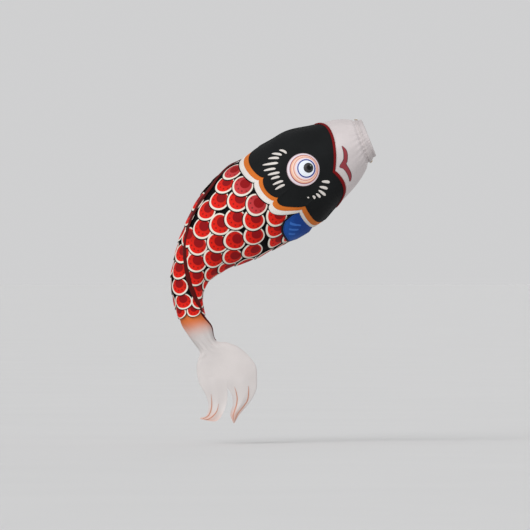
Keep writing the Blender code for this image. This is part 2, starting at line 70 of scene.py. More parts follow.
# Each rib: back point x, z; belly point x, z; half depth along Y; how far the back has turned, in degrees.
RIBS = (
    (-0.0178, 0.0440, 0.0178, -0.0440, 0.0475, 0),
    (-0.070, 0.049, -0.022, -0.113, 0.080, 0),
    (-0.134, 0.036, -0.080, -0.176, 0.101, 0),
    (-0.220, 0.014, -0.135, -0.224, 0.113, 0),
    (-0.298, -0.041, -0.172, -0.248, 0.111, 0),
    (-0.373, -0.086, -0.229, -0.279, 0.109, 8),
    (-0.438, -0.160, -0.297, -0.312, 0.096, 31),
    (-0.485, -0.261, -0.379, -0.345, 0.064, 46),
    (-0.508, -0.369, -0.426, -0.388, 0.042, 87),
    (-0.490, -0.464, -0.427, -0.452, 0.031, 139),
    (-0.469, -0.509, -0.407, -0.490, 0.028, 168),
    (-0.4335, -0.557, -0.391, -0.529, 0.018, 180),
    (-0.443, -0.588, -0.337, -0.541, 0.013, 180),
    (-0.4425, -0.616, -0.2915, -0.588, 0.010, 180),
    (-0.435, -0.642, -0.287, -0.641, 0.009, 180),
)
RIB_PITCH = 0.075  # the usual distance between ribs

CLOTH = 0.0008
BACKING = -0.0010  # where the inside of the body's base cloth lies

# Bends: the bodies on each side, the station, and half the length of cloth that turns.
BENDS = {
    "neck": ("head", "front", 4.85, 0.030),
    "waist": ("front", "middle", 6.20, 0.026),
    "hips": ("middle", "rear", 7.35, 0.022),
    "tail_root": ("rear", "stem", 8.75, 0.018),
    "fin_root": ("stem", "fin", 11.0, 0.014),
}
SECTION_ENDS = (4.00, 5.62, 6.76, 8.10, 9.90, 13.30)  # where each bend's cloth meets the next one's
SECTION_LAP = 0.03  # in stations
STEP = 0.02  # in stations or radians, for working out directions on the skin
ACROSS = Vector((0.0, 1.0, 0.0))

# Rows of scales, from the gill to the tail: station, how far the row slants forward at the belly, radius, the
# bend it crosses, and the angles of the scales on the side that shows. More of them fill the rest of a row.
SCALE_ROWS = (
    (4.80, 1.05, 0.0310, "neck", (-23, 23, 54, 84, 112, 142)),
    (5.20, 0.80, 0.0308, "neck", (-28, 28, 60, 92, 124, 156)),
    (5.60, 0.72, 0.0306, "waist", (-32, 32, 67, 103, 142, 180)),
    (6.04, 0.44, 0.0308, "waist", (-17, 17, 48, 80, 117, 157)),
    (6.45, 0.20, 0.0304, "waist", (-25, 25, 61, 99, 140)),
    (6.86, 0.10, 0.0298, "hips", (-42, 0, 29, 73, 118, 162)),
    (7.28, 0.00, 0.0286, "hips", (-62, -12, 35, 93, 148)),
    (7.70, 0.00, 0.0272, "rear", (-82, -24, 36, 96)),
    (8.12, 0.00, 0.0258, "rear", (-108, -34, 42, 112)),
    (8.54, 0.00, 0.0238, "tail_root", (-120, -46, 22, 90)),
    (8.86, 0.00, 0.0200, "tail_root", (-92, -25, 40, 116)),
)
SCALE_SPACING = 1.9  # radii
PINK_SCALES = 98  # degrees on each side of the back, in the first row

# The stripe down the back wanders a little: its angle at even steps of the station.
RIBBON_START, RIBBON_END, RIBBON_STEP = 4.30, 10.90, 0.30
RIBBON_ANGLES = (0, 0, 1, 2, 3, -2, -8, -11, -9, -5, 1, 7, 11, 12.5, 12, 12, 13, 14, 14, 13, 12, 11, 8)
RIBBON_HALF = 0.0066
SCALE_RISE = 0.0034  # how far a scale's tail edge stands above its head edge

# The seam between the snout and the hood, in stations: its place, how far its sides and its lobes lie further
# forward, and where the notch between the lobes is, as a share of the way from the back to the belly.
SNOUT_SEAM = 2.0
SNOUT_SIDES = 0.20
SNOUT_LOBES = 0.29
SNOUT_NOTCH = 0.58

# Scalloped edges: notches, each with its angle, its station, and the depth of the lobe that follows it.
HOOD_EDGE = ((0, 3.80, 0.29), (65, 4.09, 0.20), (94.5, 4.03, 0.40), (122, 3.15, 0.10), (180, 2.60, 0.0))
ORANGE_EDGE = ((0, 4.00, 0.27), (64, 4.27, 0.14), (94.5, 4.23, 0.40), (124, 3.37, 0.15), (180, 2.80, 0.0))
WHITE_EDGE = ((0, 4.16, 0.27), (62.5, 4.43, 0.16), (95, 4.40, 0.44), (126, 3.54, 0.18), (180, 2.94, 0.0))
GILL_RISE = 0.0062  # how far the top of the hood stands out at its rear edge
TRIM_LIFTS = 0.0038, 0.0029, 0.0022  # the undersides of the orange, white and black layers

EYE = (-0.1672, -0.0829)  # x, z of the middle of the eye
EYE_RADIUS = 0.0425
IRIS = (-0.1589, -0.0800)
IRIS_RADIUS = 0.0236
PUPIL = (-0.1534, -0.0784)
PUPIL_RADIUS = 0.0125

WHITE = (214, 208, 206)
SNOUT_WHITE = (214, 206, 206)
CREAM = (240, 232, 218)
BLACK = (27, 29, 30)
INK = (10, 10, 12)
RED = (232, 30, 14)
PINK = (205, 58, 62)
CORE = (146, 4, 12)
MAROON = (92, 6, 6)
PIPING = (132, 5, 10)
ORANGE = (232, 124, 42)
STEM_ORANGE = (212, 112, 56)
PEACH = (222, 152, 122)
BLUE = (26, 84, 168)
LIGHT_BLUE = (62, 118, 206)


# ---------------------------------------------------------------- the skin


def spline(values, at):
    """A Catmull-Rom curve through evenly numbered values, read at a number between 0 and the last one."""
    last = len(values) - 1
    at = min(max(at, 0.0), float(last))
    first = min(int(at), last - 1)
    t = at - first
    before = values[first - 1] if first else 2 * values[0] - values[1]
    after = values[first + 2] if first + 2 <= last else 2 * values[last] - values[last - 1]
    p1, p2 = values[first], values[first + 1]
    return p1 + 0.5 * t * (
        p2 - before + t * (2 * before - 5 * p1 + 4 * p2 - after + t * (3 * (p1 - p2) + after - before))
    )


class Ring:
    """One cross-section: an ellipse across the body, with the angle at which the back lies on it."""

    def __init__(self, station):
        back_x, back_z, belly_x, belly_z, depth, turn = (
            spline([rib[column] for rib in RIBS], station) for column in range(6)
        )
        back, belly = Vector((back_x, 0.0, back_z)), Vector((belly_x, 0.0, belly_z))
        half = (back - belly) / 2
        self.centre, self.up, self.half_height = (back + belly) / 2, half.normalized(), half.length
        self.half_depth, self.turn = depth, math.radians(turn)
        self.aft = Vector((-self.up.z, 0.0, self.up.x))

    def point(self, angle, offset):
        real = angle + self.turn
        up = self.up * ((self.half_height + offset) * math.cos(real))
        return self.centre + up + Vector((0.0, -(self.half_depth + offset) * math.sin(real), 0.0))


@functools.lru_cache(maxsize=None)
def ring_at(station):
    return Ring(station)


def bump(distance, width):
    """1 at a distance of 0, falling to nothing a few widths away."""
    return math.exp(-((distance / width) ** 2))


def ripple(station, angle):
    """How far the wind-filled cloth stands in or out of the skin."""
    belly = 0.5 - 0.5 * math.cos(angle)
    lip = -(0.0020 + 0.0045 * belly) * bump(station - 0.37, 0.08)
    gathers = 0.0007 * math.sin(30 * angle) * bump(station - 0.45, 0.35)
    slack = 0.0022 * noise.noise(Vector((1.1 * station, 2.2 * math.cos(angle), 2.2 * math.sin(angle))))
    neck = 0.0007 * math.sin(14 * angle) * bump(station - 10.9, 0.55)
    neck += 0.0064 * abs(math.cos(angle)) ** 3 * bump(station - 11.34, 0.27)
    if station > 12:
        slack *= max(0.0, 1 - (station - 12) * 0.8)
    return lip + gathers + slack + neck


def skin(station, angle, offset=0.0):
    station = round(station, 4)
    return ring_at(station).point(angle, offset + ripple(station, angle))


def across_and_round(station, angle):
    """The steps along the body and round it, over twice STEP."""
    along = skin(station + STEP, angle) - skin(station - STEP, angle)
    around = skin(station, angle + STEP) - skin(station, angle - STEP)
    return along, around


def outward(station, angle):
    along, around = across_and_round(station, angle)
    out = around.cross(along).normalized()
    return out if out.dot(skin(station, angle) - ring_at(round(station, 4)).centre) > 0 else -out


def radians_per_metre(station, angle):
    return 2 * STEP / across_and_round(station, angle)[1].length


@functools.lru_cache(maxsize=None)
def behind(x, z):
    """The station and angle on the right side of the head that lie straight behind x, z as seen along +Y."""
    station, angle = 2.8, math.radians(80)
    step = 1e-3
    for _ in range(14):
        here = skin(station, angle)
        along = (skin(station + step, angle) - here) / step
        around = (skin(station, angle + step) - here) / step
        miss_x, miss_z = x - here.x, z - here.z
        scale = along.x * around.z - along.z * around.x
        station += min(max((miss_x * around.z - miss_z * around.x) / scale, -0.5), 0.5)
        angle += min(max((along.x * miss_z - along.z * miss_x) / scale, -0.4), 0.4)
    return station, angle


def snout_edge(angle):
    """The station of the seam between snout and hood: a large scallop over a smaller one on each side."""
    side = abs(math.remainder(angle, 2 * math.pi)) / math.pi
    rise = math.sin(math.pi * side) ** 0.7
    share = side / SNOUT_NOTCH if side < SNOUT_NOTCH else (side - SNOUT_NOTCH) / (1 - SNOUT_NOTCH)
    return SNOUT_SEAM - SNOUT_SIDES * rise - SNOUT_LOBES * abs(math.sin(math.pi * share)) ** 0.8


def scallops(notches, shift=0.0):
    """The station of a scalloped edge, moved towards the tail by shift, as a function of the angle."""

    def edge(angle):
        side = min(abs(math.degrees(math.remainder(angle, 2 * math.pi))), 180.0)
        for (start, from_station, lobe), (end, to_station, _) in zip(notches, notches[1:]):
            if side <= end:
                share = (side - start) / (end - start)
                bow = lobe * max(math.sin(math.pi * share), 0.0) ** 0.6
                return from_station + (to_station - from_station) * share + bow + shift

    return edge


hood_edge = scallops(HOOD_EDGE)


def smooth(share):
    share = min(max(share, 0.0), 1.0)
    return share * share * (3 - 2 * share)


def between(low, high, steps):
    return [low + (high - low) * i / steps for i in range(steps + 1)]


def whole_turn(facets, *edges):
    """Angles all round, with the notches of any scalloped edges among them."""
    turn = {round(2 * math.pi * i / facets, 6) for i in range(facets)}
    for notches in edges:
        for degrees, _, _ in notches[1:-1]:
            turn |= {round(math.radians(degrees), 6), round(math.radians(360 - degrees), 6)}
    return sorted(turn)


# ---------------------------------------------------------------- meshes


FLAT = {}  # how wide and long each piece of cloth is at its widest and longest


def path_length(points):
    return sum((end - start).length for start, end in zip(points, points[1:]))


class Mesher:
    """Gathers closed solids, and turns them into one object."""

    def __init__(self):
        self.points, self.faces, self.uvs = [], [], []
        self.flat = (0.0, 0.0)

    def face(self, corners, uvs):
        self.faces.append(corners)
        self.uvs.extend(uvs)

    def grid(self, rows):
        first = len(self.points)
        self.points.extend(p for row in rows for p in row)
        width = len(rows[0])
        return [[first + i * width + j for j in range(width)] for i in range(len(rows))]

    def shell(self, front, back, uv, joined=False, capped=False):
        """A sheet with a front and a back. Joined, each row's end meets its start. Capped, row 0 is a hole
        that is filled. uv has a pair for each point, and one more in each row of a joined sheet."""
        self.flat = (
            max(path_length(row + row[:1] if joined else row) for row in front),
            max(path_length(column) for column in zip(*front)),
        )
        top, low = self.grid(front), self.grid(back)
        rows, columns = len(top), len(top[0])
        for j in range(columns if joined else columns - 1):
            k = (j + 1) % columns
            for i in range(rows - 1):
                square = (uv[i][j], uv[i][j + 1], uv[i + 1][j + 1], uv[i + 1][j])
                self.face((top[i][j], top[i][k], top[i + 1][k], top[i + 1][j]), square)
                corners = low[i][j], low[i + 1][j], low[i + 1][k], low[i][k]
                self.face(corners, [square[n] for n in (0, 3, 2, 1)])
            if not capped:
                edge = uv[0][j], uv[0][j], uv[0][j + 1], uv[0][j + 1]
                self.face((top[0][j], low[0][j], low[0][k], top[0][k]), edge)
            edge = uv[-1][j], uv[-1][j + 1], uv[-1][j + 1], uv[-1][j]
            self.face((top[-1][j], top[-1][k], low[-1][k], low[-1][j]), edge)
        if capped:
            self.face(tuple(reversed(top[0])), list(reversed(uv[0][:columns])))
            self.face(tuple(low[0]), uv[0][:columns])
        if not joined:
            for i in range(rows - 1):
                edge = uv[i][0], uv[i + 1][0], uv[i + 1][0], uv[i][0]
                self.face((top[i][0], top[i + 1][0], low[i + 1][0], low[i][0]), edge)
                edge = uv[i][-1], uv[i][-1], uv[i + 1][-1], uv[i + 1][-1]
                self.face((top[i][-1], low[i][-1], low[i + 1][-1], top[i + 1][-1]), edge)

    def loft(self, loops, closed=True):
        """A solid through loops of points. Closed joins the last loop to the first. Open caps both ends."""
        rings = self.grid(loops)
        count = len(rings[0])
        pairs = list(zip(rings, rings[1:] + rings[:1])) if closed else list(zip(rings, rings[1:]))
        for i, (first, second) in enumerate(pairs):
            for j in range(count):
                k = (j + 1) % count
                corners = [(i / len(rings), j / count), (i / len(rings), (j + 1) / count)]
                corners += [((i + 1) / len(rings), (j + 1) / count), ((i + 1) / len(rings), j / count)]
                self.face((first[j], first[k], second[k], second[j]), corners)
        if not closed:
            for ring in (rings[0], rings[-1]):
                self.face(tuple(ring), [(0.0, 0.0)] * count)

    def make(self, name, *materials, crease=50):
        """The object, shaded smooth, with every face pointing out."""
        mesh = bpy.data.meshes.new(name)
        mesh.from_pydata(self.points, [], self.faces)
        layer = mesh.uv_layers.new(name="cloth")
        layer.data.foreach_set("uv", [value for pair in self.uvs for value in pair])
        outward_faces(mesh)
        mesh.shade_smooth()
        mesh.set_sharp_from_angle(angle=math.radians(crease))
        for material in materials:
            mesh.materials.append(material)
        made = bpy.data.objects.new(name, mesh)
        bpy.context.scene.collection.objects.link(made)
        FLAT[name] = self.flat
        return made


def outward_faces(mesh):
    made = bmesh.new()
    made.from_mesh(mesh)
    bmesh.ops.recalc_face_normals(made, faces=made.faces)
    made.to_mesh(mesh)
    made.free()


def panel_rows(front, rear, lift, angles, rows, thickness):
    """The front, back and uv grids of cloth between two edges. The edges are stations as functions of the
    angle, and lift(share, station, angle) is how far the cloth's underside stands out."""
    tops, lows, uvs = [], [], []
    ends = angles + [angles[0] + 2 * math.pi]
    for i in range(rows + 1):
        share = i / rows
        places = [(front(a) + (rear(a) - front(a)) * share, a) for a in angles]
        tops.append([skin(s, a, lift(share, s, a) + thickness) for s, a in places])
        lows.append([skin(s, a, lift(share, s, a)) for s, a in places])
        ring = ring_at(round(places[0][0], 4))
        width = (ring.half_depth + ring.half_height) / 2
        uvs.append([(a * width, (front(a) + (rear(a) - front(a)) * share) * RIB_PITCH) for a in ends])
    return tops, lows, uvs


def flat_lift(amount):
    return lambda share, station, angle: amount


def panel(name, front, rear, lift, material, angles=None, facets=200, rows=40, thickness=CLOTH):
    """A ring of cloth round the body, or with a list of angles a part of one."""
    made = Mesher()
    used = angles or whole_turn(facets)
    made.shell(*panel_rows(front, rear, lift, used, rows, thickness), joined=angles is None)
    return made.make(name, material)


def at(station):
    return lambda angle: station


def place_on(piece, where, *nodes, slot=None):
    """Ties a piece to its body, or for a bend bakes its place into its mesh, and hides the CAD nodes that it
    stands for.
    """
    if where in BENDS:
        first, second, station, reach = BENDS[where]
        ring = ring_at(station)
        half = ring.aft * reach
        ring.centre - half
        ring.centre + half
        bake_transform(piece)
    else:
        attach(piece, where)
    if nodes:
        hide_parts(*nodes)
    return piece


# ---------------------------------------------------------------- materials


def linear(rgb):
    """A colour given as 0 to 255 sRGB, as Blender's linear one."""
    made = []
    for value in rgb:
        value /= 255
        made.append(value / 12.92 if value <= 0.04045 else ((value + 0.055) / 1.055) ** 2.4)
    return (*made, 1.0)


class Signal:
    """A socket of a shader, on which arithmetic makes math nodes."""

    def __init__(self, graph, socket):
        self.graph, self.socket = graph, socket

    def __add__(self, other):
        return self.graph.math("ADD", self, other)

    def __sub__(self, other):
        return self.graph.math("SUBTRACT", self, other)

    def __mul__(self, other):
        return self.graph.math("MULTIPLY", self, other)

    def __truediv__(self, other):
        return self.graph.math("DIVIDE", self, other)


class Graph:
    """The nodes of one material."""

    def __init__(self, name):
        self.material = bpy.data.materials.new(name)
        self.material.use_nodes = True
        self.tree = self.material.node_tree
        self.shader = self.tree.nodes["Principled BSDF"]

    def link(self, value, socket):
        if isinstance(value, Signal):
            self.tree.links.new(value.socket, socket)
        elif value is not None:
            socket.default_value = value

    def math(self, operation, first, second=None):
        node = self.tree.nodes.new("ShaderNodeMath")
        node.operation = operation
        self.link(first, node.inputs[0])
        self.link(second, node.inputs[1])
        return Signal(self, node.outputs[0])

    def uv(self):
        node = self.tree.nodes.new("ShaderNodeUVMap")
        node.uv_map = "cloth"
        split = self.tree.nodes.new("ShaderNodeSeparateXYZ")
        self.tree.links.new(node.outputs[0], split.inputs[0])
        return Signal(self, split.outputs[0]), Signal(self, split.outputs[1])

    def noise(self, scale, detail=3.0):
        """Noise over the whole object, from 0 to 1."""
        where = self.tree.nodes.new("ShaderNodeTexCoord")
        node = self.tree.nodes.new("ShaderNodeTexNoise")
        node.inputs["Scale"].default_value = scale
        node.inputs["Detail"].default_value = detail
        self.tree.links.new(where.outputs["Object"], node.inputs["Vector"])
        return Signal(self, node.outputs["Fac"])

    def step(self, value, low, high):
        """0 where the value is under low, and 1 where it is over high."""
        node = self.tree.nodes.new("ShaderNodeMapRange")
        node.interpolation_type = "SMOOTHSTEP"
        self.link(value, node.inputs["Value"])
        node.inputs["From Min"].default_value = low
        node.inputs["From Max"].default_value = high
        return Signal(self, node.outputs[0])

    def inside(self, x, y, centre, radius, edge=0.02):
        """1 inside a circle, and 0 outside it."""
        across, up = x - centre[0], y - centre[1]
        distance = self.math("SQRT", across * across + up * up)
        return self.math("SUBTRACT", 1.0, self.step(distance, radius - edge / 2, radius + edge / 2))

    def capsule(self, x, y, start, end, radius):
        """1 inside a stroke with round ends, and 0 outside it."""
        length = math.dist(start, end)
        way = (end[0] - start[0]) / length, (end[1] - start[1]) / length
        middle = (start[0] + end[0]) / 2, (start[1] + end[1]) / 2
        along = (x - middle[0]) * way[0] + (y - middle[1]) * way[1]
        across = (y - middle[1]) * way[0] - (x - middle[0]) * way[1]
        past = self.math("MAXIMUM", self.math("ABSOLUTE", along) - (length / 2 - radius), 0.0)
        distance = self.math("SQRT", across * across + past * past)
        return self.math("SUBTRACT", 1.0, self.step(distance, radius * 0.6, radius * 1.25))

    def mix(self, share, first, second):
        node = self.tree.nodes.new("ShaderNodeMix")
        node.data_type = "RGBA"
        self.link(share, node.inputs[0])
        for value, socket in ((first, node.inputs[6]), (second, node.inputs[7])):
            self.link(value if isinstance(value, Signal) else linear(value), socket)
        return Signal(self, node.outputs[2])


def dye(graph, rgb, fade):
    """A colour that is darker here and there."""
    darker = tuple(value * (1 - fade) for value in rgb)
    return graph.mix(graph.step(graph.noise(9.0), 0.30, 0.72), darker, rgb)


def cloth(name, rgb, paint=None, roughness=0.72, sheen=0.03, thread=0.0015, fade=0.12, gloss=0.16):
    """Woven polyester: threads, small wrinkles and slightly uneven dye. paint(graph, colour) prints on it."""
    graph = Graph(name)
    colour = dye(graph, rgb, fade)
    if paint:
        colour = paint(graph, colour)
    across, along = graph.uv()
    if not paint or paint in (stem_paint, lobe_paint):
        turn = 2 * math.pi / thread
        threads = graph.math("SINE", across * turn) * graph.math("SINE", along * turn)
    else:
        threads = graph.noise(1300.0, 1.0) * 2.0 - 1.0
    pale = sum(rgb) > 450
    weave = (threads * 0.5 + 0.5) * (0.055 if pale else 0.16)
    grain = weave + graph.noise(330.0, 2.0) * (0.04 if pale else 0.12)
    colour = graph.mix(grain, colour, (0, 0, 0))
    graph.link(colour, graph.shader.inputs["Base Color"])
    height = threads * 0.00010 + graph.noise(26.0, 2.0) * 0.0016 + graph.noise(90.0, 2.0) * 0.0003
    relief = graph.tree.nodes.new("ShaderNodeBump")
    relief.inputs["Strength"].default_value = 0.45
    relief.inputs["Distance"].default_value = 1.0
    graph.link(height, relief.inputs["Height"])
    graph.tree.links.new(relief.outputs[0], graph.shader.inputs["Normal"])
    graph.link(graph.noise(60.0) * 0.18 + (roughness - 0.09), graph.shader.inputs["Roughness"])
    graph.shader.inputs["Sheen Weight"].default_value = sheen
    graph.shader.inputs["Sheen Roughness"].default_value = 0.45
    graph.shader.inputs["Specular IOR Level"].default_value = gloss
    return graph.material


def metal(name, rgb, roughness):
    """Bright metal with fine scratches and a little tarnish."""
    graph = Graph(name)
    tarnished = tuple(value * 0.62 for value in rgb)
    bright = graph.step(graph.noise(160.0), 0.35, 0.65)
    graph.link(graph.mix(bright, tarnished, rgb), graph.shader.inputs["Base Color"])
    graph.link(graph.noise(700.0, 2.0) * 0.25 + roughness, graph.shader.inputs["Roughness"])
    graph.shader.inputs["Metallic"].default_value = 1.0
    return graph.material


def scale_paint(field):
    """One scale, drawn in its own square: x across, y towards the tail, both from 0 to 1."""

    def paint(graph, _):
        u, v = graph.uv()
        x, y = u * 2.0 - 1.0, v * 2.0 - 1.0
        colour = graph.mix(graph.inside(x, y, (0, 0), 0.915), INK, CREAM)
        # Painted shade: each scale's red is darker towards its head edge, which lies low under the raised
        # tail edges of the row nearer the head, and full red towards its tail edge.
        painted_shade_field = graph.mix(graph.step(y, -0.5, 0.6), tuple(c * 0.86 for c in field), field)
        colour = graph.mix(graph.inside(x, y, (0, -0.035), 0.775), colour, painted_shade_field)
        across, along = x, y + 0.26
        radius = graph.math("SQRT", across * across + along * along)
        turn = graph.math("ARCTAN2", across, along) / math.radians(33)
        nearest = turn - graph.math("ROUND", turn)
        sideways = nearest * radius * math.radians(33)
        ring = radius - 0.70
        dot = graph.math("SQRT", sideways * sideways + ring * ring)
        dots = graph.math("SUBTRACT", 1.0, graph.step(dot, 0.060, 0.095))
        dots = dots * graph.inside(x, y, (0, -0.035), 0.73)
        colour = graph.mix(dots * 0.85, colour, tuple(c * 0.62 for c in field))
        return graph.mix(graph.inside(x, y, (0, -0.26), 0.43, 0.03), colour, CORE)

    return paint


# The rings drawn round the iris, from the outside: the circle's middle, its radius, and the colour inside it.
EYE_RINGS = (
    ((0.0, 0.0), 0.965, (224, 212, 220)),
    ((0.051, 0.011), 0.876, (160, 82, 90)),
    ((0.062, 0.020), 0.826, (234, 184, 156)),
    ((0.095, 0.040), 0.762, (238, 208, 196)),
    ((0.125, 0.055), 0.716, (196, 116, 98)),
    ((0.130, 0.060), 0.678, (238, 202, 188)),
    ((0.150, 0.065), 0.625, (222, 214, 228)),
)


def eye_paint(graph, _):
    u, v = graph.uv()
    x, y = u * 2.0 - 1.0, v * 2.0 - 1.0
    colour = graph.mix(0.0, (186, 158, 168), (0, 0, 0))
    for centre, radius, rgb in EYE_RINGS:
        colour = graph.mix(graph.inside(x, y, centre, radius, 0.035), colour, rgb)
    return colour


def iris_paint(graph, _):
    u, v = graph.uv()
    x, y = u * 2.0 - 1.0, v * 2.0 - 1.0
    return graph.mix(graph.inside(x, y, (0, 0), 0.862), (36, 54, 136), (228, 234, 242))


def pupil_paint(graph, _):
    u, v = graph.uv()
    x, y = u * 2.0 - 1.0, v * 2.0 - 1.0
    colour = graph.mix(graph.inside(x, y, (0, 0), 0.90, 0.14), (20, 20, 22), (62, 60, 62))
    # Printed dark grey pupil with painted shade: its soft black middle sits right of centre, so the pupil is
    # lighter on its left.
    colour = graph.mix(graph.inside(x, y, (0.20, 0.04), 0.52, 0.24), colour, (4, 4, 6))
    # Painted highlight: a small light greenish-grey spot at the pupil's top right stands for a glint.
    return graph.mix(graph.inside(x, y, (0.46, 0.44), 0.14, 0.12), colour, (132, 140, 128))


def stem_paint(graph, white):
    """Orange behind the last scales, fading to white towards the tail fin."""
    _, v = graph.uv()
    station = v / RIB_PITCH + (graph.noise(30.0) - 0.5) * 0.25
    colour = graph.mix(graph.step(station, 8.6, 9.4), (196, 92, 40), STEM_ORANGE)
    return graph.mix(graph.step(station, 9.2, 10.5), colour, white)


FIN_MARKS = (((0.10, 0.72), (0.37, 0.34)), ((0.24, 0.80), (0.45, 0.53)), ((0.36, 0.885), (0.53, 0.72)))


def fin_paint(graph, _):
    """Lighter brush marks across the blue, in the fin's own square with its free end at the top."""
    u, v = graph.uv()
    colour = graph.mix(graph.step(v, 0.35, 1.0), (16, 62, 140), BLUE)
    blur = (graph.noise(70.0) - 0.5) * 0.035
    for start, end in FIN_MARKS:
        mark = graph.capsule(u + blur, v + blur, start, end, 0.034)
        colour = graph.mix(mark * 0.85, colour, LIGHT_BLUE)
    return colour


def lobe_paint(graph, colour):
    """A blush of peach at the tip."""
    _, v = graph.uv()
    return graph.mix(graph.step(v + (graph.noise(40.0) - 0.5) * 0.02, 0.092, 0.150) * 0.45, colour, PEACH)


M = {
    "snout": cloth("snout_cloth", SNOUT_WHITE, fade=0.06),
    "hem": cloth("hem_cloth", (206, 198, 198), thread=0.0022),
    "hood": cloth("hood_cloth", BLACK, fade=0.20, sheen=0.0, gloss=0.10),
    "base": cloth("base_cloth", INK, sheen=0.0, gloss=0.08),
    "piping": cloth("piping_cloth", PIPING),
    "orange": cloth("orange_cloth", ORANGE),
    "trim": cloth("trim_cloth", (238, 232, 226)),
    "maroon": cloth("maroon_cloth", MAROON),
    "scale": cloth("scale_cloth", RED, scale_paint(RED)),
    "pink_scale": cloth("pink_scale_cloth", PINK, scale_paint(PINK)),
    "stem": cloth("stem_cloth", WHITE, stem_paint, fade=0.05),
    "lobe": cloth("lobe_cloth", WHITE, lobe_paint, fade=0.05),
    "line": cloth("line_paint", (208, 150, 128)),
    "fin": cloth("fin_cloth", BLUE, fin_paint),
    "fin_edge": cloth("fin_edge_cloth", (14, 20, 34)),
    "stroke": cloth("stroke_paint", (226, 220, 214)),
    "lip": cloth("lip_paint", (166, 68, 76)),
    "ink": cloth("ink_paint", (50, 22, 26)),
    "eye": cloth("eye_cloth", (232, 222, 228), eye_paint, roughness=0.5),
    "iris": cloth("iris_cloth", (232, 236, 246), iris_paint, roughness=0.45),
    "pupil": cloth("pupil_cloth", (12, 12, 14), pupil_paint, roughness=0.35),
    "thread_white": cloth("thread_white", (222, 214, 208), thread=0.0006),
    "thread_dark": cloth("thread_dark", (24, 22, 24), thread=0.0006),
    "brass": metal("eyelet_brass", (214, 176, 104), 0.20),
    "steel": metal("spring_wire", (176, 178, 182), 0.25),
}


# ---------------------------------------------------------------- stitches


def stitches(made, path, pitch=0.0052, length=0.0034, radius=0.00042):
    """Short, rounded stitches along a path of (point, way out) pairs."""
    travelled, due = 0.0, pitch / 2
    for (start, out), (end, _) in zip(path, path[1:]):
        step = (end - start).length
        while step > 0 and travelled + step > due:
            point = start.lerp(end, (due - travelled) / step)
            stitch(made, point + out * radius * 0.4, (end - start).normalized(), out, length, radius)
            due += pitch
        travelled += step


def stitch(made, middle, way, out, length, radius):
    side = way.cross(out).normalized()
    loops = []
    for share, size in ((-0.5, 0.35), (-0.36, 0.85), (0.0, 1.0), (0.36, 0.85), (0.5, 0.35)):
        centre = middle + way * (share * length)
        turn = whole_turn(6)
        loops.append([centre + (side * math.cos(t) + out * math.sin(t)) * (radius * size) for t in turn])
    made.loft(loops, closed=False)


def round_the_body(edge, offset, angles, closed=True):
    """A path of (point, way out) pairs round the body, at the stations that edge gives for each angle."""
    path = []
    for a in angles + ([angles[0]] if closed else []):
        lift = offset(edge(a), a) if callable(offset) else offset
        path.append((skin(edge(a), a, lift), outward(edge(a), a)))
    return path


# ---------------------------------------------------------------- mouth


RING_RADIUS = 0.0475
HEM_FOLD = 0.0042  # the radius of the folded cloth's outside round the wire
HEM_INNER = 0.0034
HEM_END = 0.30
EYELET_STATION = 0.23


def hem_loop(angle):
    """The folded hem's section: along the snout, round the ring, and back along the inside of the snout."""
    up, forward = ring_at(0.0).up, -ring_at(0.0).aft
    out = up * math.cos(angle) - ACROSS * math.sin(angle)
    gather = 0.00035 * math.sin(46 * angle) + 0.0002 * math.sin(31 * angle + 1)
    centre = out * RING_RADIUS

    def fold(radius, turns):
        return [centre + out * (radius * math.cos(t)) + forward * (radius * math.sin(t)) for t in turns]

    front = between(math.radians(-35), math.radians(215), 12)
    leg = between(HEM_END, 0.12, 5)
    puff = [0.0007 * math.sin(math.pi * i / 5) for i in range(6)]
    outside = [skin(s, angle, 0.0017 + p + gather) for s, p in zip(leg, puff)]
    below = [skin(s, angle, 0.0007 + gather) for s in reversed(leg)]
    inside = [skin(s, angle, -0.0016) for s in leg]
    inmost = [skin(s, angle, -0.0025) for s in reversed(leg)]
    outer_fold, inner_fold = fold(HEM_FOLD + gather, front), fold(HEM_INNER, reversed(front))
    return outside + outer_fold + inmost + inside + inner_fold + below


def eyelet_frame(angle):
    """Where an eyelet goes through the hem, the way out of it and two ways across it."""
    out = outward(EYELET_STATION, angle)
    return skin(EYELET_STATION, angle), out, ACROSS, out.cross(ACROSS)


def turned(profile, place, facets=40):
    """A ring turned about an eyelet's barrel from a closed profile of (radius, height) points."""
    point, out, side, across = place
    loops = []
    for angle in whole_turn(facets):
        way = side * math.cos(angle) + across * math.sin(angle)
        loops.append([point + way * radius + out * height for radius, height in profile])
    return loops


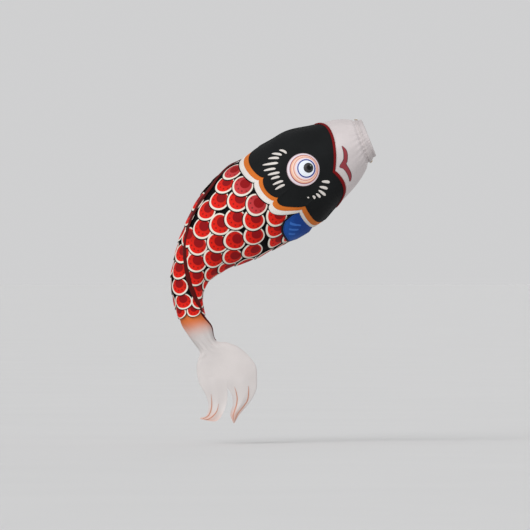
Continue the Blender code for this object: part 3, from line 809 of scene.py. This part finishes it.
def mouth():
    hem = Mesher()
    hem.loft([hem_loop(a) for a in whole_turn(184)])
    hem.flat = 2 * math.pi * (RING_RADIUS + HEM_FOLD), path_length(hem_loop(0.0)) / 2
    place_on(hem.make("mouth_hem_cloth", M["hem"]), "head", "mouth_hem", slot="white_cloth")
    snout = panel("snout_cloth", at(0.10), snout_edge, flat_lift(-CLOTH), M["snout"], facets=220, rows=48)
    place_on(snout, "head", "snout_panel", slot="white_cloth")
    for node in ("mouth_ring", "ring_ferrule"):
        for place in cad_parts[node].material_slots:
            place.material = M["steel" if node == "mouth_ring" else "brass"]
    for word, angle in (("top", 0.0), ("bottom", math.pi)):
        place = eyelet_frame(angle)
        half_turn = between(0.0, math.pi, 8)
        lip = [(0.0035 + 0.0015 * math.cos(t), 0.0029 + 0.0010 * math.sin(t)) for t in half_turn]
        barrel = [(0.0020, 0.0016), (0.0020, -0.0045), (0.0025, -0.0045), (0.0026, 0.0023)]
        eyelet = Mesher()
        eyelet.loft(turned(lip + barrel, place))
        place_on(eyelet.make("eyelet_ring_" + word, M["brass"]), "head", "eyelet_" + word, slot="brass")
        washer = Mesher()
        half_turn = between(0.0, math.pi, 6)
        rim = [(0.0040 + 0.0010 * math.cos(t), -0.0034 - 0.0006 * math.sin(t)) for t in half_turn]
        washer.loft(turned(rim + [(0.0030, -0.0028), (0.0050, -0.0028)], place))
        piece = washer.make("eyelet_back_" + word, M["brass"])
        place_on(piece, "head", "eyelet_washer_" + word, slot="brass")
    seams = Mesher()
    turn = whole_turn(240)
    for station in (HEM_END - 0.035, HEM_END - 0.085):
        stitches(seams, round_the_body(at(station), 0.0020, turn))
    place_on(seams.make("hem_stitches", M["thread_white"]), "head")


# ---------------------------------------------------------------- head


def hood_lift(share, station, angle):
    """The hood's rear edge stands out over the scales."""
    return -CLOTH + GILL_RISE * smooth((station - hood_edge(angle) + 0.60) / 0.60)


def rounded_band(name, middle, half_width, low, height, material, facets=260, cells=8):
    """A padded strip round the body, centred on a line of stations."""
    made = Mesher()
    angles = whole_turn(facets)
    tops, lows, uvs = [], [], []
    for i in range(cells + 1):
        share = i / cells
        across = 2 * share - 1
        puff = height * math.sqrt(max(0.0, 1 - (across * 0.97) ** 2))
        row = [(middle(a) + half_width * across, a) for a in angles]
        tops.append([skin(s, a, low + puff) for s, a in row])
        lows.append([skin(s, a, low) for s, a in row])
        uvs.append([(a * 0.1, across * half_width * RIB_PITCH) for a in angles + [2 * math.pi]])
    made.shell(tops, lows, uvs, joined=True)
    return made.make(name, material)


def trim(name, front, rear, low, material):
    """A scalloped band behind the hood's edge, slightly padded, between two tables of notches."""

    def lift(share, station, angle):
        return low + 0.0006 * math.sin(math.pi * share)

    turn = whole_turn(320, front, rear)
    made = Mesher()
    edges = scallops(front, -0.06), scallops(rear)
    made.shell(*panel_rows(*edges, lift, turn, 8, 0.0009), joined=True)
    return made.make(name, material)


def head():
    for word, side in (("right", 1), ("left", -1)):
        angles = [side * a for a in whole_turn(260, HOOD_EDGE) if a <= math.pi]
        hood = panel("hood_cloth_" + word, snout_edge, hood_edge, hood_lift, M["hood"], angles, rows=46)
        place_on(hood, "head", "hood_" + word, slot="black_cloth")
    piping = rounded_band("snout_edge_piping", snout_edge, 0.052, 0.0002, 0.0026, M["piping"])
    place_on(piping, "head", "snout_piping", slot="maroon_cloth")
    orange = trim("gill_trim_orange", HOOD_EDGE, ORANGE_EDGE, TRIM_LIFTS[0], M["orange"])
    place_on(orange, "head", "gill_trim_orange_right", "gill_trim_orange_left", slot="orange_cloth")
    white = trim("gill_trim_white", ORANGE_EDGE, WHITE_EDGE, TRIM_LIFTS[1], M["trim"])
    place_on(white, "head", "gill_trim_white_right", "gill_trim_white_left", slot="white_cloth")
    # Painted shade: a band of black cloth just beyond the white trim's edge, drawn like an outline, stands
    # for the shadow in the gap under that edge.
    shadow_band_rear = [(angle, station + 0.035, lobe) for angle, station, lobe in WHITE_EDGE]
    place_on(trim("gill_trim_shadow_band", WHITE_EDGE, shadow_band_rear, TRIM_LIFTS[2], M["base"]), "head")
    crest = Mesher()
    for centre in (0.0, math.pi):
        loops = []
        last = hood_edge(centre) - 0.02
        for station in between(2.0, last, 40):
            middle = skin(station, centre, hood_lift(0, station, centre) + CLOTH)
            out = outward(station, centre)
            size = 0.0013 if 2.01 < station < last - 0.001 else 0.0004
            loops.append([middle + (ACROSS * math.cos(t) + out * math.sin(t)) * size for t in whole_turn(8)])
        crest.loft(loops, closed=False)
    place_on(crest.make("hood_seam_cord", M["hood"]), "head")
    seams = Mesher()
    turn = whole_turn(420)
    stitches(seams, round_the_body(lambda a: snout_edge(a) - 0.072, 0.0002, turn))
    place_on(seams.make("snout_stitches", M["thread_white"]), "head")
    seams = Mesher()
    stitches(seams, round_the_body(scallops(HOOD_EDGE, -0.035), GILL_RISE - 0.0001, turn))
    place_on(seams.make("hood_stitches", M["thread_dark"]), "head")
    seams = Mesher()
    stitches(seams, round_the_body(scallops(WHITE_EDGE, -0.032), TRIM_LIFTS[1] + 0.0010, turn))
    place_on(seams.make("trim_stitches", M["thread_white"]), "head")


def on_head(x, z, side, offset):
    """The point at x, z on the right (1) or left (-1) side of the head, offset outwards from its cloth."""
    station, angle = behind(round(x, 5), round(z, 5))
    lift = hood_lift(0, station, angle) + CLOTH if station > snout_edge(angle) else 0.0
    return skin(station, side * angle, offset + lift)


def disc(made, centre, radius, side, low, height, rings=9, facets=64):
    """A padded disc of cloth on the head, drawn in its own square of the uv map."""
    tops, lows, uvs = [], [], []
    for i in range(rings + 1):
        share = 0.06 + 0.94 * i / rings
        puff = height * (1 - share**4)
        row = [(share * math.cos(t), share * math.sin(t)) for t in whole_turn(facets)]
        places = [(centre[0] + radius * x, centre[1] + radius * z) for x, z in row]
        tops.append([on_head(x, z, side, low + CLOTH + puff) for x, z in places])
        lows.append([on_head(x, z, side, low) for x, z in places])
        uvs.append([(0.5 + 0.5 * x, 0.5 + 0.5 * z) for x, z in row + row[:1]])
    made.shell(tops, lows, uvs, joined=True, capped=True)


def eyes():
    layers = (
        ("eye_disc", EYE, EYE_RADIUS, 0.0002, 0.0030, "eye", "eye_white", "white_cloth"),
        ("iris_disc", IRIS, IRIS_RADIUS, 0.0031, 0.0016, "iris", "eye_iris", "white_cloth"),
        ("pupil_disc", PUPIL, PUPIL_RADIUS, 0.0048, 0.0022, "pupil", "eye_pupil", "black_cloth"),
    )
    for word, side in (("right", 1), ("left", -1)):
        for name, centre, radius, low, height, material, node, slot in layers:
            made = Mesher()
            disc(made, centre, radius, side, low, height)
            piece = made.make(f"{name}_{word}", M[material])
            place_on(piece, "head", f"{node}_{word}", slot=slot)
        seam = Mesher()
        path = []
        for t in whole_turn(140) + [0.0]:
            x = EYE[0] + EYE_RADIUS * 0.975 * math.cos(t)
            z = EYE[1] + EYE_RADIUS * 0.975 * math.sin(t)
            station, angle = behind(round(x, 5), round(z, 5))
            path.append((on_head(x, z, side, 0.0013), outward(station, side * angle)))
        stitches(seam, path, pitch=0.0040, length=0.0024)
        place_on(seam.make("eye_stitches_" + word, M["thread_white"]), "head")


def stroke(made, start, end, width, side, low, arch=0.0):
    """A brush stroke on the head from start to end (x, z), thin where it starts and full where it ends."""
    length = math.dist(start, end)
    way = ((end[0] - start[0]) / length, (end[1] - start[1]) / length)
    tops, lows, uvs = [], [], []
    count = 18
    for i in range(count + 1):
        share = 0.5 - 0.5 * math.cos(math.pi * i / count)
        round_off = math.sqrt(max(0.0, 1 - abs(2 * share - 1) ** 3.2)) * (0.62 + 0.38 * share)
        half = max(width / 2 * round_off, 0.0002)
        bow = arch * 4 * share * (1 - share)
        middle_x = start[0] + way[0] * length * share - way[1] * bow
        middle_z = start[1] + way[1] * length * share + way[0] * bow
        top, under, uv = [], [], []
        for j in range(7):
            across = (j / 3 - 1) * half
            x, z = middle_x - way[1] * across, middle_z + way[0] * across
            puff = 0.0006 * (1 - (j / 3 - 1) ** 2)
            top.append(on_head(x, z, side, low + 0.0004 + puff))
            under.append(on_head(x, z, side, low))
            uv.append((across, length * share))
        tops.append(top)
        lows.append(under)
        uvs.append(uv)
    made.shell(tops, lows, uvs)


# Brush strokes about the eye: degrees from the level and distance in mm, where each is thin and where full.
FAN = (
    ((39.6, 80), (45.0, 60)),
    ((27.3, 91), (35.0, 67)),
    ((17.7, 95), (26.0, 69)),
    ((5.7, 105), (15.4, 67)),
    ((-2.7, 101), (2.5, 71)),
    ((-9.8, 92), (-6.4, 61)),
    ((-17.0, 87), (-16.3, 63)),
    ((-27.0, 88), (-29.0, 59)),
    ((-35.7, 89), (-39.0, 61)),
)
CHEEK = (
    ((-32.5, 57), (-24.9, 76)),
    ((-46.0, 61), (-37.5, 80)),
    ((-53.0, 66), (-48.7, 88)),
    ((-61.4, 70), (-58.0, 84)),
    ((-69.8, 71.5), (-67.4, 80)),
)
FAN_WIDTH, CHEEK_WIDTH = 0.0072, 0.0088
CHEEK_DOT, DOT_RADIUS = (-79.7, 73), 0.0024
PRINT_LIFT = 0.0001  # how far the undersides of the marks stand off the cloth


def polar(place, way):
    turn, radius = math.radians(place[0]), place[1] / 1000
    return EYE[0] + way * radius * math.cos(turn), EYE[1] + radius * math.sin(turn)


def brush_marks():
    """The fan of strokes behind the eye, the smaller one below it, and the mark beside the mouth."""
    for word, side in (("right", 1), ("left", -1)):
        made = Mesher()
        for i, (thin, full) in enumerate(FAN):
            arch = 0.0022 if i == 0 else 0.0012
            stroke(made, polar(thin, -1), polar(full, -1), FAN_WIDTH, side, PRINT_LIFT, arch)
        for i, (thin, full) in enumerate(CHEEK):
            width = CHEEK_WIDTH - 0.0003 * i
            stroke(made, polar(thin, 1), polar(full, 1), width, side, PRINT_LIFT, 0.0006)
        dot = polar(CHEEK_DOT, 1)
        ends = (dot[0] - DOT_RADIUS, dot[1]), (dot[0] + DOT_RADIUS, dot[1])
        stroke(made, *ends, 2 * DOT_RADIUS, side, PRINT_LIFT)
        place_on(made.make("brush_strokes_" + word, M["stroke"]), "head")
        layers = ("lip_mark_edge", 0.0011, PRINT_LIFT, "ink"), ("lip_mark", 0.0, 0.0006, "lip")
        for name, grow, low, material in layers:
            made = Mesher()
            lip_mark(made, side, grow, low)
            place_on(made.make(f"{name}_{word}", M[material]), "head")


# The mark's two edges, from its upper tip to its lower one, as x, z.
LIP_FRONT = (
    (-0.0666, -0.0205), (-0.0567, -0.0304), (-0.0526, -0.0434), (-0.0535, -0.0600), (-0.0560, -0.0675),
    (-0.0502, -0.0772), (-0.0437, -0.0902), (-0.0425, -0.1032), (-0.0458, -0.1131),
)
LIP_REAR = (
    (-0.0666, -0.0205), (-0.0634, -0.0320), (-0.0617, -0.0430), (-0.0627, -0.0570), (-0.0723, -0.0741),
    (-0.0625, -0.0800), (-0.0541, -0.0902), (-0.0481, -0.1032), (-0.0458, -0.1131),
)


def lip_mark(made, side, grow, low):
    tops, lows, uvs = [], [], []
    count = 40
    for i in range(count + 1):
        where = i / count * (len(LIP_FRONT) - 1)
        front = [spline([p[n] for p in LIP_FRONT], where) for n in range(2)]
        rear = [spline([p[n] for p in LIP_REAR], where) for n in range(2)]
        wide = max(math.dist(front, rear), 0.0006)
        way = ((front[0] - rear[0]) / wide, (front[1] - rear[1]) / wide)
        top, under, uv = [], [], []
        for j in range(6):
            share = (j / 5) * (wide + 2 * grow) - grow
            x, z = rear[0] + way[0] * share, rear[1] + way[1] * share
            top.append(on_head(x, z, side, low + 0.0005))
            under.append(on_head(x, z, side, low))
            uv.append((share, where * 0.012))
        tops.append(top)
        lows.append(under)
        uvs.append(uv)
    made.shell(tops, lows, uvs)


# ---------------------------------------------------------------- body


REAR_END = 8.78  # where the last base cloth ends, over the start of the stem's
STEM_START = 8.62
SECTION_NODES = (
    ("neck", "front_cloth_right", "front_cloth_left", "neck_cloth_right", "neck_cloth_left"),
    ("waist", "middle_cloth_right", "middle_cloth_left"),
    ("hips", "rear_cloth_right", "rear_cloth_left"),
)


def body_cloth():
    for i, (bend, *nodes) in enumerate(SECTION_NODES):
        start, end = SECTION_ENDS[i], SECTION_ENDS[i + 1]
        front = scallops(HOOD_EDGE, -0.25) if i == 0 else at(start - SECTION_LAP)
        lift = flat_lift(BACKING - (0.0004 if i % 2 else 0.0))
        rows = 44 if i == 0 else 30
        piece = panel("base_cloth_" + bend, front, at(end), lift, M["base"], facets=150, rows=rows)
        place_on(piece, bend, *nodes, slot="black_cloth")
    front, lift = at(SECTION_ENDS[3] - SECTION_LAP), flat_lift(BACKING)
    piece = panel("base_cloth_rear", front, at(REAR_END), lift, M["base"], facets=110, rows=16)
    place_on(piece, "tail_root", slot="black_cloth")


def scale(made, station, angle, radius, low, rings=6, facets=40):
    """One round scale: its head edge lies low, and its tail edge stands out over the next row."""
    along, around = (way / (2 * STEP) for way in across_and_round(station, angle))
    slip = along.dot(around.normalized())
    straight = (along - around.normalized() * slip).length
    tops, lows, uvs = [], [], []
    for i in range(rings + 1):
        share = 0.10 + 0.90 * i / rings
        row = [(share * math.cos(t), share * math.sin(t)) for t in whole_turn(facets)]
        places = []
        for x, y in row:
            stations = y * radius / straight
            places.append((station + stations, angle + (x * radius - stations * slip) / around.length))
        lift = [low + SCALE_RISE * (1 + y) / 2 for x, y in row]
        puff = 0.0006 * (1 - share**3)
        edge = 0.0006 if i < rings else 0.0004
        tops.append([skin(s, a, under + edge + puff) for (s, a), under in zip(places, lift)])
        lows.append([skin(s, a, under) for (s, a), under in zip(places, lift)])
        uvs.append([(0.5 + 0.5 * x, 0.5 + 0.5 * y) for x, y in row + row[:1]])
    made.shell(tops, lows, uvs, joined=True, capped=True)


def whole_row(station, slant, radius, shown):
    """The angles and stations of a row's scales: the ones given, and then evenly spaced ones all round."""

    def place(degrees):
        side = abs(math.remainder(degrees, 360))
        return degrees, station - slant * smooth((side - 85) / 70)

    angles = between(shown[-1], shown[0] + 360, 120)
    points = [skin(s, math.radians(degrees)) for degrees, s in map(place, angles)]
    walked = [path_length(points[: i + 1]) for i in range(len(points))]
    count = round(walked[-1] / (SCALE_SPACING * radius))
    due = [walked[-1] * i / count for i in range(1, count)]
    added = [next(a for a, way in zip(angles, walked) if way >= wanted) for wanted in due]
    return [place(degrees) for degrees in (*shown, *added)]


def scales():
    nodes = ["scale_row_1", None, *(f"scale_row_{i}" for i in range(2, 10)), None, None]
    rows = []
    for station, slant, radius, where, shown in SCALE_ROWS:
        places = whole_row(station, slant, radius, shown)
        if not rows:
            pink = [place for place in places if abs(math.remainder(place[0], 360)) < PINK_SCALES]
            rows.append((pink, radius, where, 0.0003, "pink_scale"))
            places = [place for place in places if place not in pink]
        rows.append((places, radius, where, 0.0003 if len(rows) == 1 else 0.0006, "scale"))
    for number, (places, radius, where, low, material) in enumerate(rows, 1):
        made = Mesher()
        for degrees, station in places:
            scale(made, station, math.radians(degrees), radius, low)
        piece = made.make(f"scales_{number}", M[material])
        node = nodes[number - 1]
        place_on(piece, where, *([node] if node else []), slot="red_cloth")


def back_ribbon():
    """The dark-red stripe over the back seam, an arched strip that the scales tuck under."""
    bends = ("neck", "waist", "hips", "tail_root", "fin_root")
    ends = (RIBBON_START, *SECTION_ENDS[1:5], RIBBON_END)
    for number, bend in enumerate(bends, 1):
        made = Mesher()
        tops, lows, uvs = [], [], []
        steps = 34
        for i in range(steps + 1):
            station = ends[number - 1] + (ends[number] - ends[number - 1]) * i / steps
            taper = 1 - 0.80 * smooth((station - 9.4) / 1.4)
            middle = math.radians(spline(RIBBON_ANGLES, (station - RIBBON_START) / RIBBON_STEP))
            half = RIBBON_HALF * taper * radians_per_metre(station, middle)
            crest = 0.0022 * taper * smooth((station - RIBBON_START) / 0.4)
            low = 0.0032 * (1 - 0.9 * smooth((station - 8.6) / 0.6))
            low *= 0.5 + 0.5 * smooth((station - 4.5) / 0.3)
            row = [j / 5 - 1 for j in range(11)]
            tops.append([skin(station, middle + x * half, low + CLOTH + crest * (1 - x * x)) for x in row])
            lows.append([skin(station, middle + x * half, low) for x in row])
            uvs.append([(x * 0.006, station * RIB_PITCH) for x in row])
        made.shell(tops, lows, uvs)
        piece = made.make(f"ribbon_{number}", M["maroon"])
        place_on(piece, bend, f"back_ribbon_{number}", slot="maroon_cloth")


# ---------------------------------------------------------------- side fins


FIN_MIDDLE = 149  # degrees
FIN_END = 4.60
FIN_HINGE = 3.50  # the station about which a side fin flaps
FIN_BEND = 0.022  # how much of its cloth bends, behind the hinge


def fin_place(along, across, side, offset, grow=0.0):
    """A place on a side fin: along is 0 under the gill trim and 1 at its free end, across is -1 to 1."""
    angle = FIN_MIDDLE + across * (21 + 4 * smooth(2 * along)) * (1 + grow)
    root = scallops(WHITE_EDGE, -0.14)(math.radians(angle))
    end = FIN_END - 0.32 * across**4 + grow
    station = root + (end - root) * along
    rise = 0.0006 + 0.0050 * smooth((station - root) / 0.6)
    return skin(station, side * math.radians(angle), rise + offset)


def fin_hinged(piece, side):
    """Bakes the piece's place into its mesh."""
    angle = side * math.radians(FIN_MIDDLE)
    start = skin(FIN_HINGE, angle)
    way = (skin(FIN_HINGE + 0.5, angle) - start).normalized()
    start + way * FIN_BEND
    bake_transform(piece)
    return piece


def side_fin(word, side):
    """A blue flap that comes out from under the gill trim, on a larger black one."""
    layers = (
        ("fin_backing_", 0.075, 0.0, 0.0006, 0.0, "fin_edge"),
        ("fin_cloth_", 0.0, 0.0008, 0.0010, 0.0018, "fin"),
    )
    steps, cells = 20, 24
    for name, grow, low, thickness, puff, material in layers:
        made = Mesher()
        tops, lows, uvs = [], [], []
        for i in range(steps + 1):
            along = i / steps
            row = [2 * j / cells - 1 for j in range(cells + 1)]
            full = puff * math.sin(math.pi * along) ** 0.7
            swell = [thickness + full * (1 - x * x) for x in row]
            tops.append([fin_place(along, x, side, low + s, grow) for x, s in zip(row, swell)])
            lows.append([fin_place(along, x, side, low, grow) for x in row])
            uvs.append([((x + 1) / 2, along) for x in row])
        made.shell(tops, lows, uvs)
        piece = fin_hinged(made.make(name + word, M[material]), side)
    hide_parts("side_fin_" + word)
    seam = Mesher()
    edge = [(i / steps, -0.95) for i in range(6, steps)]
    edge += [(0.965, 2 * j / cells - 1) for j in range(1, cells)]
    edge += [(i / steps, 0.95) for i in reversed(range(6, steps))]
    path = []
    for along, across in edge:
        point = fin_place(along, across, side, 0.0020)
        path.append((point, (point - fin_place(along, across, side, 0.0)).normalized()))
    stitches(seam, path, pitch=0.0046, length=0.0028)
    fin_hinged(seam.make("fin_stitches_" + word, M["fin_edge"]), side)


# ---------------------------------------------------------------- tail


FORK_X = -0.3637
LOBE_BEND = -0.628, -0.664  # the heights between which a lobe's cloth bends
LOBE_START = SECTION_ENDS[5]
BACK_OUTER = ((-0.287, -0.641), (-0.292, -0.663), (-0.307, -0.688), (-0.3335, -0.720), (-0.3450, -0.7405))
BACK_INNER = (
    (FORK_X, -0.6455), (-0.3525, -0.668), (-0.3500, -0.692), (-0.3560, -0.718), (-0.3480, -0.7405),
)
BELLY_OUTER = (
    (-0.435, -0.642), (-0.4200, -0.668), (-0.4125, -0.697), (-0.4185, -0.721), (-0.4350, -0.7270),
)
BELLY_INNER = (
    (FORK_X, -0.6455), (-0.3645, -0.680), (-0.3735, -0.711), (-0.3930, -0.735), (-0.4335, -0.7300),
)

# Brush lines down the lobes, as x, z.
BACK_LINES = (
    ((-0.3455, -0.6460), (-0.3415, -0.6578), (-0.3383, -0.6758), (-0.3405, -0.6937), (-0.3451, -0.7081),
     (-0.3490, -0.7225), (-0.3478, -0.7330)),
    ((-0.3095, -0.6430), (-0.3085, -0.6542), (-0.3109, -0.6794), (-0.3217, -0.6973), (-0.3361, -0.7153),
     (-0.3440, -0.7325)),
)
BELLY_LINES = (
    ((-0.4062, -0.6651), (-0.4044, -0.6866), (-0.4062, -0.7046), (-0.4133, -0.7207), (-0.4290, -0.7300)),
    ((-0.3864, -0.6902), (-0.3907, -0.7081), (-0.4008, -0.7215), (-0.4133, -0.7300), (-0.4230, -0.7325)),
)


class Lobe:
    """Half of the tail: a folded sheet, closed along its outer edge and open along the fork."""

    def __init__(self, outer, inner, real_angle, sway):
        root = ring_at(LOBE_START)
        edge = root.point(real_angle - root.turn, ripple(LOBE_START, real_angle - root.turn))
        centre = root.centre
        self.outer = [(edge.x, edge.z), *outer]
        self.inner = [(centre.x, centre.z), *inner]
        self.sway = sway
        self.depth = root.half_depth

    def point(self, along, across, offset=0.0):
        """along runs from 0 at the root to 1 at the tip, and across from -1 on the front's inner edge over 0
        at the outer edge to 1 on the rear's inner edge."""
        at_knot = along * (len(self.outer) - 1)
        outer = [spline([p[n] for p in self.outer], at_knot) for n in range(2)]
        inner = [spline([p[n] for p in self.inner], at_knot) for n in range(2)]
        free = along**1.4
        closing = math.sqrt(max(0.0, 1 - max(0.0, along - 0.55) ** 4 / 0.45**4))
        depth = self.depth * (1 - 0.45 * free) * closing + 0.0008 + offset
        quarter = abs(across) * math.pi / 2
        share = 1 - math.cos(quarter)
        reach = offset * (1 - abs(across))
        gap = max(math.dist(outer, inner), 1e-4)
        way = ((outer[0] - inner[0]) / gap, (outer[1] - inner[1]) / gap)
        x = outer[0] + (inner[0] - outer[0]) * share + way[0] * reach
        z = outer[1] + (inner[1] - outer[1]) * share + way[1] * reach
        flute = 0.0016 * math.sin(3 * math.pi * share) * math.sin(math.pi * along)
        y = math.copysign(depth * math.sin(quarter), across) + self.sway * free**1.5 + flute
        return Vector((x, y, z))

    def find(self, x, z, guess):
        """The place (along, across) whose point is nearest to x, z, from a guess close to it."""
        along, across = guess
        step = 1e-3
        for _ in range(12):
            here = self.point(along, across)
            down = (self.point(along + step, across) - here) / step
            over = (self.point(along, across + step) - here) / step
            miss_x, miss_z = x - here.x, z - here.z
            scale = down.x * over.z - down.z * over.x or 1e-9
            along += 0.7 * min(max((miss_x * over.z - miss_z * over.x) / scale, -0.2), 0.2)
            across += 0.7 * min(max((down.x * miss_z - down.z * miss_x) / scale, -0.2), 0.2)
            along, across = min(max(along, 0.005), 0.99), min(max(across, 0.03), 0.98)
        return along, across


def tail():
    stem_end, lift = SECTION_ENDS[4], flat_lift(BACKING)
    stem = panel("stem_cloth", at(STEM_START), at(stem_end), lift, M["stem"], facets=110, rows=36)
    place_on(stem, "tail_root", "tail_stem_right", "tail_stem_left", slot="peach_cloth")
    end = at(LOBE_START + 0.04)
    fin = panel("tail_fin_cloth", at(stem_end), end, lift, M["stem"], facets=150, rows=60)
    place_on(fin, "fin_root", "tail_fin_right", "tail_fin_left", slot="white_cloth")
    lobes = (
        ("back_lobe", Lobe(BACK_OUTER, BACK_INNER, math.pi, 0.0065), BACK_LINES),
        ("belly_lobe", Lobe(BELLY_OUTER, BELLY_INNER, 0.0, -0.0060), BELLY_LINES),
    )
    for body, lobe, lines in lobes:
        made = Mesher()
        tops, lows, uvs = [], [], []
        for i in range(61):
            along = i / 60
            row = between(-1.0, 1.0, 48)
            tops.append([lobe.point(along, x, -0.0001) for x in row])
            lows.append([lobe.point(along, x, -0.0001 - CLOTH * (1 - 0.6 * along)) for x in row])
            uvs.append([(x * 0.08, along * 0.165) for x in row])
        made.shell(tops, lows, uvs)
        piece = made.make("tail_cloth_" + body, M["lobe"])
        paint = Mesher()
        for line in lines:
            for side in (-1, 1):
                tail_line(paint, lobe, line, side)
        mark = paint.make("tail_lines_" + body, M["line"])
        for cloth_piece in (piece, mark):
            start, end = (Vector((FORK_X, 0.0, height)) for height in LOBE_BEND)
            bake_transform(cloth_piece)
        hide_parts("tail_" + "_".join(reversed(body.split("_"))))


def tail_line(made, lobe, line, side):
    """A tapered brush line down a lobe, through places given as x, z."""
    tops, lows, uvs = [], [], []
    guess = (0.05, 0.5)
    count = 40
    for i in range(count + 1):
        share = i / count
        x, z = (spline([place[n] for place in line], share * (len(line) - 1)) for n in range(2))
        guess = lobe.find(x, z, guess)
        width = 0.0029 * math.sin(math.pi * min(share * 0.86 + 0.02, 1.0)) ** 0.9 + 0.0003
        one, other = (lobe.point(guess[0], min(max(guess[1] + step, 0), 1)) for step in (0.05, -0.05))
        half = min(0.1 * width / max((one - other).length, 0.0005) / 2, 0.22)
        top, under, uv = [], [], []
        for j in range(4):
            across = side * min(max(guess[1] + (2 * j / 3 - 1) * half, 0.02), 0.99)
            base = lobe.point(guess[0], across)
            lift = Vector((0.0, 0.0004 * side, 0.0))
            top.append(base + lift)
            under.append(base - lift * 0.3)
            uv.append((j / 3 * width, share * 0.10))
        tops.append(top)
        lows.append(under)
        uvs.append(uv)
    made.shell(tops, lows, uvs)


# ---------------------------------------------------------------- the cut of the cloth


def declare(name, rests_on, *on_it, held="stretched"):
    """Works out a piece of cloth's flat size as modelled and its area. What it is sewn to and the pieces on
    it are not used.
    """
    piece = bpy.data.objects[name]
    width, length = FLAT[name]
    area = min(sum(face.area for face in piece.data.polygons) / 2, width * length)


def cut_sizes():
    eyelets = [f"eyelet_{part}_{word}" for part in ("ring", "back") for word in ("top", "bottom")]
    declare("mouth_hem_cloth", ["mouth_ring"], "hem_stitches", *eyelets, held="folded")
    marks = [f"{name}_{word}" for name in ("lip_mark", "lip_mark_edge") for word in ("right", "left")]
    declare("snout_cloth", ["mouth_hem_cloth"], "snout_edge_piping", "snout_stitches", *marks)
    for word, seams in (("right", ["hood_seam_cord", "hood_stitches"]), ("left", [])):
        on_it = "eye_disc", "iris_disc", "pupil_disc", "eye_stitches", "brush_strokes"
        declare("hood_cloth_" + word, ["snout_cloth"], *(f"{name}_{word}" for name in on_it), *seams)
        declare("fin_backing_" + word, ["gill_trim_white"], held="hung")
        declare("fin_cloth_" + word, ["fin_backing_" + word], "fin_stitches_" + word, held="hung")
    declare("gill_trim_orange", ["hood_cloth_right", "hood_cloth_left"])
    declare("gill_trim_white", ["gill_trim_orange"], "gill_trim_shadow_band", "trim_stitches")
    sections = ("neck", (1, 2, 3)), ("waist", (4, 5, 6)), ("hips", (7, 8)), ("rear", (9, 10, 11, 12))
    before = "gill_trim_white"
    for section, rows in sections:
        declare("base_cloth_" + section, [before], *(f"scales_{row}" for row in rows))
        before = "base_cloth_" + section
    declare("stem_cloth", ["base_cloth_rear"])
    declare("tail_fin_cloth", ["stem_cloth"])
    backs = "base_cloth_neck", "base_cloth_waist", "base_cloth_hips", "stem_cloth", "tail_fin_cloth"
    for number, back in enumerate(backs, 1):
        declare(f"ribbon_{number}", [back])
    for body in ("back_lobe", "belly_lobe"):
        declare("tail_cloth_" + body, ["tail_fin_cloth"], "tail_lines_" + body, held="hung")


# ---------------------------------------------------------------- stage


FLOOR_DROP = 0.055  # below the tail
SUNS = (  # name, the way to it, strength
    ("key", (-0.5, -1.0, 0.70), 1.75),
    ("fill", (0.8, -1.0, 0.0), 0.50),
    ("back", (0.3, 1.0, 0.0), 1.10),
)


def stage():
    """A pale floor that reaches to the horizon, under an even pale sky, with three soft suns."""
    bpy.ops.mesh.primitive_plane_add(size=400, location=(0.0, 0.0, cad_box[0].z - FLOOR_DROP))
    floor = bpy.context.object
    floor.name = "floor"
    graph = Graph("floor_paint")
    tone = graph.mix(graph.noise(1.5), (205, 205, 205), (210, 210, 210))
    graph.link(tone, graph.shader.inputs["Base Color"])
    graph.shader.inputs["Roughness"].default_value = 0.9
    graph.shader.inputs["Specular IOR Level"].default_value = 0.05
    floor.data.materials.append(graph.material)
    floor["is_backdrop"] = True
    world = bpy.data.worlds.new("studio")
    world.use_nodes = True
    sky = world.node_tree.nodes["Background"]
    sky.inputs["Color"].default_value = linear((240, 240, 241))
    sky.inputs["Strength"].default_value = 0.72
    bpy.context.scene.world = world
    middle = (cad_box[0] + cad_box[1]) / 2
    for name, place, power in SUNS:
        light = bpy.data.lights.new(name, "SUN")
        light.angle, light.energy = math.radians(38), power
        lamp = bpy.data.objects.new(name, light)
        lamp.location = middle + Vector(place)
        lamp.rotation_euler = (middle - lamp.location).to_track_quat("-Z", "Y").to_euler()
        bpy.context.scene.collection.objects.link(lamp)


def camera():
    """A long lens that looks along +Y. The view is 1.378 m wide where the carp hangs."""
    distance, view_width, view_middle = 24.0, 1.378, (-0.266, -0.3294)
    lens = bpy.data.cameras.new("camera")
    lens.sensor_width = 36.0
    lens.lens = lens.sensor_width * distance / view_width
    lens.clip_end = 900.0
    eye = bpy.data.objects.new("camera", lens)
    eye.location = (view_middle[0], -distance, view_middle[1])
    eye.rotation_euler = (math.radians(90), 0.0, 0.0)
    bpy.context.scene.collection.objects.link(eye)
    bpy.context.scene.camera = eye


bpy.context.scene.view_settings.view_transform = "Standard"
camera()
stage()
mouth()
head()
eyes()
brush_marks()
body_cloth()
scales()
back_ribbon()
side_fin("right", 1)
side_fin("left", -1)
tail()
cut_sizes()


def corners(box):
    return [list(corner) for corner in box]


{"cad": corners(cad_box), "visual": corners(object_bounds())}
